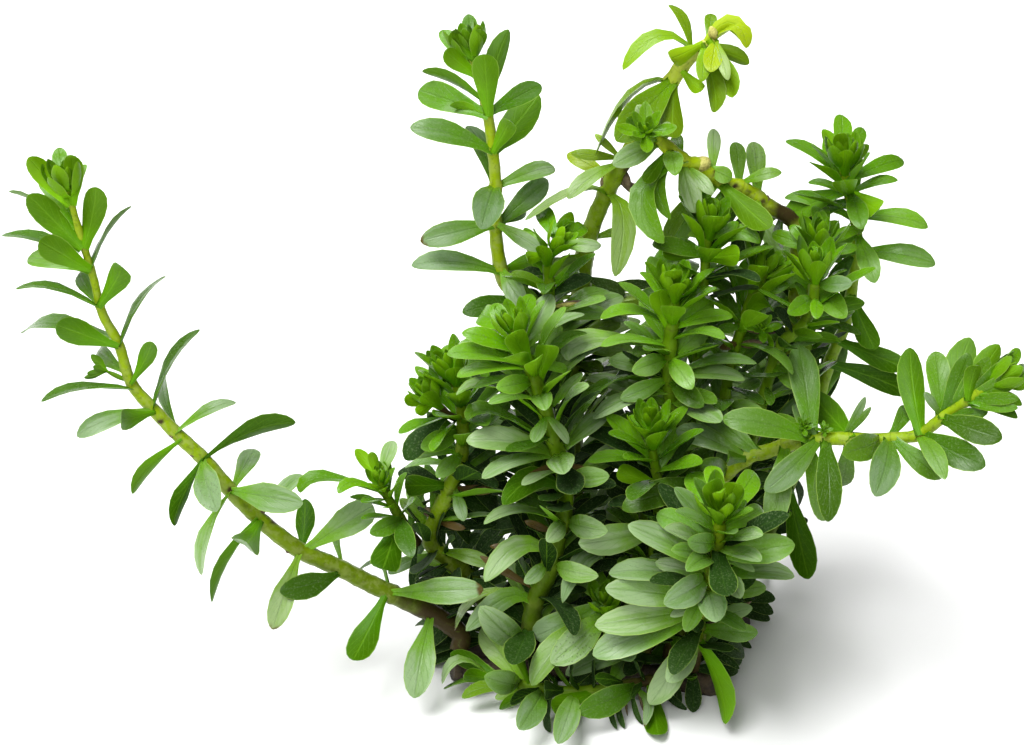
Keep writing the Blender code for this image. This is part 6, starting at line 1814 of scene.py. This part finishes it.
class Nodes:
    """Short ways to add and join the nodes of one tree."""

    def __init__(self, tree):
        self.tree = tree

    def add(self, kind, **settings):
        node = self.tree.nodes.new(kind)
        for name, value in settings.items():
            setattr(node, name, value)
        return node

    def feed(self, socket, value):
        """Joins a field to a socket, or sets a plain number or colour on it."""
        if isinstance(value, Field):
            self.tree.links.new(value.socket, socket)
        elif isinstance(value, tuple) and len(value) == 3:
            socket.default_value = (*value, 1.0)
        else:
            socket.default_value = value

    def give(self, node, **values):
        """Feeds a node's inputs by their names, with _ for a space."""
        for name, value in values.items():
            self.feed(node.inputs[name.replace("_", " ")], value)

    def wrapped(self, node):
        return {output.name: Field(self, output) for output in node.outputs}

    def math(self, operation, first, second=0.0):
        node = self.add("ShaderNodeMath", operation=operation)
        self.feed(node.inputs[0], first)
        self.feed(node.inputs[1], second)
        return Field(self, node.outputs[0])

    def mix(self, factor, first, second, blend="MIX"):
        """From the first colour to the second, or to their product, as far as factor says."""
        node = self.add("ShaderNodeMix", data_type="RGBA", blend_type=blend)
        for index, value in ((0, factor), (6, first), (7, second)):
            self.feed(node.inputs[index], value)
        return Field(self, node.outputs[2])

    def value(self, name):
        return Field(self, self.add("ShaderNodeAttribute", attribute_name=name).outputs["Fac"])

    def ramp(self, factor, low, high):
        """0 at low and below, 1 at high and above, smooth between."""
        node = self.add("ShaderNodeMapRange", interpolation_type="SMOOTHSTEP")
        self.feed(node.inputs[0], factor)
        node.inputs[1].default_value = low
        node.inputs[2].default_value = high
        return Field(self, node.outputs[0])

    def object_place(self):
        return self.wrapped(self.add("ShaderNodeTexCoord"))["Object"]

    def leaf_place(self):
        """How far across and how far along its leaf a place is, both from 0 to 1."""
        node = self.add("ShaderNodeSeparateXYZ")
        self.feed(node.inputs[0], Field(self, self.add("ShaderNodeUVMap", uv_map="UVMap").outputs[0]))
        return Field(self, node.outputs[0]), Field(self, node.outputs[1])

    def noise(self, scale, detail=3.0, roughness=0.55, place=None):
        node = self.add("ShaderNodeTexNoise")
        place = place or self.object_place()
        self.give(node, Vector=place, Scale=scale, Detail=detail, Roughness=roughness)
        return Field(self, node.outputs[0])

    def streaks(self, across, along):
        """Noise drawn out along the leaf, different on each leaf."""
        leaf_across, leaf_along = self.leaf_place()
        node = self.add("ShaderNodeCombineXYZ")
        self.give(node, X=leaf_across * across, Y=leaf_along * along, Z=self.value("vary") * STREAK_JUMP)
        return self.noise(1.0, 3.0, 0.5, Field(self, node.outputs[0]))

    def bump(self, shader, height, strength, distance):
        """Small relief in a surface, its distance in metres."""
        node = self.add("ShaderNodeBump")
        self.give(node, Strength=strength, Distance=distance, Height=height)
        self.give(shader, Normal=Field(self, node.outputs[0]))

    def group(self, group, **values):
        node = self.add("ShaderNodeGroup", node_tree=group)
        self.give(node, **values)
        return self.wrapped(node)


VEINS_ALONG = 7.0
VEIN_SLANT = 5.0


def make_vein_group():
    """Midrib, side veins and the thin rim of a leaf, read from its UV map."""
    group, n, _, end = new_group("leaf veins", {}, ("Midrib", "Veins", "Rim"))
    across, along = n.leaf_place()
    off_middle = n.math("ABSOLUTE", across - 0.5)
    midrib = (1.0 - n.ramp(off_middle, 0.012, 0.05)) * (1.0 - n.ramp(along, 0.75, 0.97))
    wave = n.math("SINE", (along * VEINS_ALONG - off_middle * VEIN_SLANT) * math.tau)
    veins = n.ramp(wave, 0.86, 0.99) * (1.0 - n.ramp(off_middle, 0.34, 0.46))
    rim = n.ramp(off_middle, 0.455, 0.495).larger(n.ramp(along, 0.97, 0.997))
    n.give(end, Midrib=midrib, Veins=veins, Rim=rim)
    return group


DOTS_PER_METRE = 1500.0


def make_mottle_group():
    """Soft clouds, fine grain and small dots over a surface, on object coordinates."""
    group, n, _, end = new_group("leaf mottle", {}, ("Clouds", "Grain", "Dots"))
    cells = n.add("ShaderNodeTexVoronoi", feature="F1")
    n.give(cells, Vector=n.object_place(), Scale=DOTS_PER_METRE)
    dots = 1.0 - n.ramp(n.wrapped(cells)["Distance"], 0.12, 0.34)
    n.give(end, Clouds=n.noise(260.0), Grain=n.noise(2600.0, 3.0, 0.65), Dots=dots)
    return group


# Colours that a leaf is mixed with, and tints that it is multiplied by
# Painted sheen: the silvery colour of light reflected from the upper sides of grown leaves
PAINTED_SHEEN_COLOUR = (0.235, 0.335, 0.185)
YELLOWED = (0.28, 0.385, 0.004)
FOOT_TINT = (1.1, 1.25, 0.35)
# Painted shade for leaves whose pale value is below 0
PAINTED_SHADE_TINT = (0.42, 0.5, 0.40)
# A random tone of each leaf together with the painted light and shade of its shoot
LIGHT_TINT = (1.4, 1.3, 1.3)
SHADE_TINT = (0.44, 0.52, 0.44)
# Painted deep shade for hidden leaves, whose vary value is below -1
PAINTED_DEEP_SHADE_TINT = (0.24, 0.34, 0.12)


def make_tint_group():
    """The leaf's colour from its age and its own looks, with painted sheen, painted light and painted shade.
    """
    inputs = {"Young": (1.0, 1.0, 1.0, 1.0), "Grown": (1.0, 1.0, 1.0, 1.0), "Clouds": 0.5, "Bloom": 1.0}
    group, n, start, end = new_group("leaf tint", inputs, ("Colour",), "NodeSocketColor")
    clouds = (start["Clouds"] - 0.5) * 0.5
    age, vary = n.value("age"), n.value("vary")
    colour = n.mix(n.ramp(age + clouds, 0.0, 0.55), start["Young"], start["Grown"])
    run = n.leaf_place()[1] + clouds
    # Painted sheen from the pale value above 0, stronger on older leaves and towards the tip
    pale = n.value("pale").larger(0.0) * n.ramp(age, 0.1, 0.7) * start["Bloom"]
    pale = pale * (n.ramp(run, 0.15, 0.65) * 0.8 + 0.2)
    # Painted highlights: lengthwise streaks of stronger and weaker sheen
    sheen = n.ramp(n.streaks(5.0, 1.2), 0.40, 0.62) * 0.95 + 0.6
    colour = n.mix((pale * sheen).clamped() * 0.75, colour, PAINTED_SHEEN_COLOUR)
    colour = n.mix(1.0 - n.ramp(run, 0.05, 0.45), colour, FOOT_TINT, "MULTIPLY")
    # Painted shade where the pale value is below 0
    colour = n.mix((n.value("pale") * -0.9).larger(0.0), colour, PAINTED_SHADE_TINT, "MULTIPLY")
    colour = n.mix(n.ramp(n.value("yellow"), 0.0, 1.3), colour, YELLOWED)
    # Random tone with painted light above 0 and painted shade below 0
    colour = n.mix((vary * 0.6).larger(0.0), colour, LIGHT_TINT, "MULTIPLY")
    colour = n.mix((vary * -0.6).larger(0.0), colour, SHADE_TINT, "MULTIPLY")
    # Painted deep shade on hidden leaves
    colour = n.mix((vary * -1.0 - 1.0).clamped(), colour, PAINTED_DEEP_SHADE_TINT, "MULTIPLY")
    n.give(end, Colour=colour)
    return group


def new_material(name):
    made = bpy.data.materials.new(name)
    made.use_nodes = True
    return made, Nodes(made.node_tree), made.node_tree.nodes["Principled BSDF"]


# Painted light: a light rim where light shines through the thin leaf edge
PAINTED_LIT_RIM = (0.34, 0.50, 0.09)
DOT = (0.07, 0.10, 0.035)
WITHERED = (0.085, 0.058, 0.014)
UPPER_RIB = (0.05, 0.12, 0.01)
UPPER_GRAIN = (0.28, 0.38, 0.18)
UNDER_RIB = (0.20, 0.42, 0.02)
UNDER_GRAIN = (0.16, 0.34, 0.02)


def leaf_material(name, groups, young, grown, rib, grain, roughness, painted_sheen, specular):
    """One side of the leaf: tint by age with painted sheen, light and shade, darker midrib and veins,
    a painted light rim where light shines through the edge, satin gloss.
    """
    made, n, shader = new_material(name)
    veins = n.group(groups["veins"])
    mottle = n.group(groups["mottle"])
    clouds = mottle["Clouds"] - 0.5
    dots = mottle["Dots"] * n.value("speckle")
    tint = n.group(groups["tint"], Young=young, Grown=grown, Clouds=mottle["Clouds"], Bloom=painted_sheen)
    colour = n.mix(n.ramp(mottle["Grain"], 0.5, 0.72) * 0.22, tint["Colour"], grain)
    colour = n.mix(veins["Veins"] * 0.13, colour, rib)
    colour = n.mix(veins["Midrib"] * 0.22, colour, rib)
    # Painted light on the rim of the leaf
    colour = n.mix(veins["Rim"] * 0.42, colour, PAINTED_LIT_RIM)
    colour = n.mix(dots * 0.5, colour, DOT)
    brown = n.value("brown")
    edge = n.leaf_place()[1] + clouds * 0.9 + (brown - 1.0).larger(0.0)
    colour = n.mix((n.ramp(edge, 0.72, 0.9) * brown).clamped(), colour, WITHERED)
    hidden = (n.value("vary") * -1.0 - 1.0).larger(0.0)
    rough = (clouds * 0.3 + roughness + hidden * 0.7).clamped()
    n.give(shader, Base_Color=colour, Roughness=rough)
    height = mottle["Grain"] * 0.45 - veins["Veins"] * 0.5 - veins["Midrib"] * 1.2 + dots * 0.8
    n.bump(shader, height, 0.45, 0.00012)
    shader.inputs["Specular IOR Level"].default_value = specular
    shader.inputs["Subsurface Weight"].default_value = 0.06
    shader.inputs["Subsurface Radius"].default_value = (0.3, 0.6, 0.1)
    shader.inputs["Subsurface Scale"].default_value = 0.001
    return made


FRESH_STEM = (0.09, 0.21, 0.001)
YELLOW_STEM = (0.33, 0.45, 0.004)
OLIVE_STEM = (0.05, 0.10, 0.002)
YELLOW_OLIVE_STEM = (0.15, 0.20, 0.003)
STEM_MOTTLE = (0.34, 0.38, 0.13)
BROWN_STEM = (0.045, 0.032, 0.010)
PALE_STEM = (0.50, 0.52, 0.11)
NODE_BAND = (0.36, 0.42, 0.05)
NODE_LINE = (0.045, 0.06, 0.006)
STEM_STREAK = (0.075, 0.10, 0.01)


def stem_material():
    """Green stem: bright near the tip, olive and browned low down, with pale rings at the nodes."""
    made, n, shader = new_material("stem skin")
    age, vary, node = n.value("age"), n.value("vary"), n.value("yellow")
    clouds = n.noise(420.0)
    fresh = n.mix(vary, FRESH_STEM, YELLOW_STEM)
    olive = n.mix(vary, OLIVE_STEM, YELLOW_OLIVE_STEM)
    colour = n.mix(n.ramp(age + (clouds - 0.5) * 0.35, 0.35, 0.95), fresh, olive)
    mottled = n.ramp(n.noise(700.0, 2.0), 0.42, 0.62) * n.ramp(age, -0.1, 0.5) * vary
    colour = n.mix(mottled * 0.6, colour, STEM_MOTTLE)
    foot = n.value("brown") + (clouds - 0.5) * 0.6
    colour = n.mix(n.ramp(foot, 0.1, 0.6), colour, BROWN_STEM)
    colour = n.mix(n.ramp(vary, 1.0, 1.7), colour, PALE_STEM)
    colour = n.mix(node * 0.12, colour, NODE_BAND)
    colour = n.mix(n.ramp(node, 0.8, 1.0) * 0.35, colour, NODE_LINE)
    streaks = n.ramp(n.noise(900.0, 4.0, 0.7), 0.52, 0.72)
    colour = n.mix(streaks * 0.6, colour, STEM_STREAK)
    n.give(shader, Base_Color=colour, Roughness=clouds * 0.18 + 0.34)
    shader.inputs["Specular IOR Level"].default_value = 0.12
    n.bump(shader, n.noise(1800.0), 0.4, 0.00015)
    return made


BARK = (0.085, 0.058, 0.028)
DARK_BARK = (0.022, 0.014, 0.008)
BUD = (0.20, 0.15, 0.07)
DARK_BUD = (0.06, 0.04, 0.02)
STUB = (0.62, 0.60, 0.16)
DARK_STUB = (0.30, 0.25, 0.04)


def bark_material(name, light, dark):
    """Old brown stem: fibrous, matt, darker in its hollows."""
    made, n, shader = new_material(name)
    clouds = n.noise(300.0, 5.0, 0.65)
    fibres = n.noise(1700.0, 4.0, 0.7)
    colour = n.mix(n.ramp(clouds, 0.35, 0.65), dark, light)
    colour = n.mix(n.ramp(fibres, 0.5, 0.7) * 0.5, colour, dark)
    n.give(shader, Base_Color=colour, Roughness=fibres * 0.3 + 0.55)
    n.bump(shader, clouds + fibres, 0.8, 0.0004)
    return made


@cache
def materials():
    """Every finish by its short name, made once."""
    groups = {"veins": make_vein_group(), "mottle": make_mottle_group(), "tint": make_tint_group()}
    colours = bpy.context.scene.rotala_colours
    upper = tuple(colours.young_upper), tuple(colours.grown_upper), UPPER_RIB, UPPER_GRAIN
    under = tuple(colours.young_under), tuple(colours.grown_under), UNDER_RIB, UNDER_GRAIN
    return {
        # The upper side gets the full painted sheen, the underside only a little of it
        "upper": leaf_material("leaf upper side", groups, *upper, roughness=0.28, painted_sheen=1.0, specular=0.2),
        "under": leaf_material("leaf underside", groups, *under, roughness=0.42, painted_sheen=0.15, specular=0.1),
        "stem": stem_material(),
        "bark": bark_material("rootstock bark", BARK, DARK_BARK),
        "bud": bark_material("dried bud", BUD, DARK_BUD),
        "stub": bark_material("pale stub", STUB, DARK_STUB),
    }


def dress(obj, *names):
    for name in names:
        obj.data.materials.append(materials()[name])


# The object's pieces


def make_shoot(name, node):
    """One shoot: its stem with every leaf that is fused to it, in place of its solid."""
    stem, whorls = layout()["stems"][name]
    chance = random.Random(name)
    parts = [stem_object(f"{name}_tube", name, stem, whorls)]
    for index, leaf in enumerate(layout()["leaves"][name]):
        parts.append(leaf_object(f"{name}_blade_{index:02d}", name, leaf, chance))
    for part in parts:
        dress(part, "upper", "under", "stem")
    for index, row in enumerate(DROPS.get(name, [])):
        parts.append(drop_object(f"{name}_drop_{index:02d}", *drop_ends(stem, row), row[4], row[5]))
    for index, row in enumerate(SIDE_ROSETTES.get(name, [])):
        distance, centre = rosette_centre(stem, row)
        radius = bpy.context.scene.rotala_sizes.stalk_radius / MM * row[3]
        stalk = (stem.at(distance)[0], centre, radius, "stem")
        parts.append(drop_object(f"{name}_stalk_{index:02d}", *stalk))
    whole = join_all(parts, f"{node}_growth")
    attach(whole, "root")
    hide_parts(node)


def make_apart_leaves(shoot):
    """The grown leaves of a long shoot, each a piece of its own that reaches its stem."""
    for name, leaf in layout()["apart"].items():
        if not name.startswith(shoot):
            continue
        chance = random.Random(name)
        leaf.foot = leaf.foot.lerp(leaf.stem_point, 0.75)
        if "f" not in leaf.look:
            leaf.foot = leaf.foot + TOWARD * FOOT_IN_FRONT
        blade = leaf_object(f"{name}_blade", shoot, leaf, chance)
        dress(blade, "upper", "under")
        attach(blade, "root")
        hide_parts(name)


def rootstock_tube(name, knots, phase, chance):
    """One knobbly creeping stem, cut off flat where it rests."""
    line = smooth_line([Vector(knot) for knot in knots], Stem.STEPS)
    radii = []
    for number in range(len(line)):
        knob = 1.0 + 0.10 * math.sin(number * 1.3 + phase) + chance.uniform(-0.06, 0.06)
        radii.append(ROOTSTOCK_RADIUS * 0.97 * knob)
    arm = tube(name, line, radii, 3)
    bpy.ops.object.mode_set(mode="EDIT")
    bpy.ops.mesh.select_all(action="SELECT")
    bpy.ops.mesh.bisect(plane_co=(0.0, 0.0, 0.0), plane_no=(0.0, 0.0, 1.0), use_fill=True, clear_inner=True)
    bpy.ops.object.mode_set(mode="OBJECT")
    bpy.ops.object.shade_smooth_by_angle(angle=math.radians(50.0))
    for polygon in arm.data.polygons:
        polygon.material_index = 2
    return arm


def make_rootstock():
    """The old creeping stems with the leaves that spring from them."""
    chance = random.Random(ROOTSTOCK_SEED)
    parts = []
    for index, knots in enumerate(ROOTSTOCK_ARMS):
        parts.append(rootstock_tube(f"arm_{index}", knots, index, chance))
    for index, leaf in enumerate(layout()["leaves"]["rootstock"]):
        parts.append(leaf_object(f"basal_blade_{index:02d}", "rootstock", leaf, chance))
    for part in parts:
        dress(part, "upper", "under", "bark")
    whole = join_all(parts, "rootstock_bark")
    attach(whole, "root")
    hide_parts("rootstock")


# Sizes and colours that a user would change


def leaf_colour(name, description, default):
    return bpy.props.FloatVectorProperty(
        name=name, description=description, subtype="COLOR", size=4, min=0.0, max=1.0, default=(*default, 1.0)
    )


class RotalaColours(bpy.types.PropertyGroup):
    young_upper: leaf_colour("Young upper side", "Upper side of the youngest leaves", (0.085, 0.23, 0.001))
    grown_upper: leaf_colour("Grown upper side", "Upper side of the grown leaves", (0.088, 0.21, 0.010))
    young_under: leaf_colour("Young underside", "Underside of the youngest leaves", (0.115, 0.27, 0.001))
    grown_under: leaf_colour("Grown underside", "Underside of the grown leaves", (0.08, 0.21, 0.001))


class RotalaSizes(bpy.types.PropertyGroup):
    leaf_thickness: bpy.props.FloatProperty(
        name="Leaf thickness", description="Thickness of a grown leaf at a third of its length",
        default=0.00055, min=0.0001, max=0.002, precision=5, unit="LENGTH",
    )
    stalk_radius: bpy.props.FloatProperty(
        name="Stalk radius", description="Radius of the stalk of a full-sized side rosette",
        default=0.0009, min=0.0001, max=0.003, precision=5, unit="LENGTH",
    )
    node_swelling: bpy.props.FloatProperty(
        name="Node swelling", description="How much thicker a stem is at its nodes, as a share of its radius",
        default=0.13, min=0.0, max=1.0, subtype="FACTOR",
    )


class ROTALA_OT_leaf_master(bpy.types.Operator):
    """Model the flat leaf that every leaf is a copy of"""

    bl_idname = "rotala.leaf_master"
    bl_label = "Leaf to copy"

    def execute(self, context):
        make_master()
        make_drop_master()
        return {"FINISHED"}


class ROTALA_OT_rootstock(bpy.types.Operator):
    """Model the old creeping stems, cut off flat"""

    bl_idname = "rotala.rootstock"
    bl_label = "Rootstock"

    def execute(self, context):
        make_rootstock()
        return {"FINISHED"}


class ROTALA_OT_long_shoots(bpy.types.Operator):
    """Model the runner and the right shoot with their end leaves"""

    bl_idname = "rotala.long_shoots"
    bl_label = "Long shoots"

    def execute(self, context):
        for name in LONG_SHOOTS:
            make_shoot(name, f"{name}_stem")
        return {"FINISHED"}


class ROTALA_OT_long_shoot_leaves(bpy.types.Operator):
    """Model the grown leaves of the runner and the right shoot, one piece each"""

    bl_idname = "rotala.long_shoot_leaves"
    bl_label = "Leaves of the long shoots"

    def execute(self, context):
        for name in LONG_SHOOTS:
            make_apart_leaves(name)
        return {"FINISHED"}


class ROTALA_OT_leafy_shoots(bpy.types.Operator):
    """Model the shoots of the clump, each with the leaves fused to it"""

    bl_idname = "rotala.leafy_shoots"
    bl_label = "Leafy shoots"

    def execute(self, context):
        for name in SHOOTS:
            make_shoot(name, name)
        return {"FINISHED"}


# The stage: a floor, a broad sun, two soft lights, a white sky and a camera, in metres and watts
FLOOR_SIZE = 6.0
DARKER_FLOOR = (0.86, 0.86, 0.86)
LIGHTER_FLOOR = (0.90, 0.90, 0.90)
SUN_PLACE = (-0.35, -0.2, 0.95)
SUN_STRENGTH = 4.2
SUN_SPREAD = 35.0
SOFT_LIGHTS = [("front light", (-0.15, -0.75, 0.75), 4.5), ("back light", (-0.25, 0.55, 0.85), 5.0)]
SOFT_LIGHT_SIZE = 0.6
LIGHTS_AIM = Vector((-0.015, 0.0, 0.06))
WORLD_STRENGTH = 0.15
CAMERA_LENS = 79.1
CAMERA_SENSOR = 36.0


def make_light(name, place, power, kind, aim, **shape):
    """A lamp that shines from a place to its aim; its power is a strength for a sun, else in watts."""
    data = bpy.data.lights.new(name, kind)
    data.energy = power
    for setting, value in shape.items():
        setattr(data, setting, value)
    made = link_object(name, data)
    made.location = place
    made.rotation_euler = (aim - Vector(place)).to_track_quat("-Z", "Y").to_euler()


def make_floor():
    deselect_all()
    bpy.ops.mesh.primitive_plane_add(size=FLOOR_SIZE)
    floor = bpy.context.object
    floor.name = "floor"
    look, n, shader = new_material("pale floor")
    n.give(shader, Base_Color=n.mix(n.noise(30.0, 2.0), DARKER_FLOOR, LIGHTER_FLOOR))
    shader.inputs["Roughness"].default_value = 0.9
    floor.data.materials.append(look)


def make_camera():
    """A camera that sees the plant as the layout is drawn, from in front and above."""
    camera = bpy.data.cameras.new("camera")
    camera.lens = CAMERA_LENS
    camera.sensor_width = CAMERA_SENSOR
    made = link_object("camera", camera)
    made.location = (VIEW_TARGET + TOWARD * VIEW_DISTANCE) * MM
    made.rotation_euler = (math.pi / 2.0 - VIEW_TILT, 0.0, 0.0)
    return made


class ROTALA_OT_stage(bpy.types.Operator):
    """Lay the pale floor, set the soft lights and the camera"""

    bl_idname = "rotala.stage"
    bl_label = "Stage"

    def execute(self, context):
        make_floor()
        sun_angle = math.radians(SUN_SPREAD)
        make_light("key sun", SUN_PLACE, SUN_STRENGTH, "SUN", Vector(), angle=sun_angle)
        for name, place, watts in SOFT_LIGHTS:
            make_light(name, place, watts, "AREA", LIGHTS_AIM, shape="DISK", size=SOFT_LIGHT_SIZE)
        world = bpy.data.worlds.new("soft studio")
        world.use_nodes = True
        background = world.node_tree.nodes["Background"].inputs
        background["Color"].default_value = (1.0, 1.0, 1.0, 1.0)
        background["Strength"].default_value = WORLD_STRENGTH
        context.scene.world = world
        context.scene.view_settings.view_transform = "Standard"
        context.scene.camera = make_camera()
        return {"FINISHED"}


class ROTALA_PT_panel(bpy.types.Panel):
    bl_idname = "ROTALA_PT_panel"
    bl_label = "Rotala clump"
    bl_space_type = "VIEW_3D"
    bl_region_type = "UI"
    bl_category = "Rotala"

    def draw(self, context):
        for name in RotalaSizes.__annotations__:
            self.layout.prop(context.scene.rotala_sizes, name)
        for name in RotalaColours.__annotations__:
            self.layout.prop(context.scene.rotala_colours, name)
        for operator in OPERATORS:
            self.layout.operator(operator.bl_idname)


OPERATORS = (
    ROTALA_OT_leaf_master,
    ROTALA_OT_rootstock,
    ROTALA_OT_long_shoots,
    ROTALA_OT_long_shoot_leaves,
    ROTALA_OT_leafy_shoots,
    ROTALA_OT_stage,
)
CLASSES = (RotalaColours, RotalaSizes, *OPERATORS, ROTALA_PT_panel)


def register():
    for cls in CLASSES:
        bpy.utils.register_class(cls)
    bpy.types.Scene.rotala_colours = bpy.props.PointerProperty(type=RotalaColours)
    bpy.types.Scene.rotala_sizes = bpy.props.PointerProperty(type=RotalaSizes)


def unregister():
    del bpy.types.Scene.rotala_sizes
    del bpy.types.Scene.rotala_colours
    for cls in reversed(CLASSES):
        bpy.utils.unregister_class(cls)


def main():
    register()
    bpy.ops.rotala.leaf_master()
    bpy.ops.rotala.rootstock()
    bpy.ops.rotala.long_shoots()
    bpy.ops.rotala.long_shoot_leaves()
    bpy.ops.rotala.leafy_shoots()
    bpy.ops.rotala.stage()
    for name in (MASTER_NAME, DROP_NAME):
        bpy.data.objects.remove(bpy.data.objects[name])


if __name__ == "__main__":
    main()
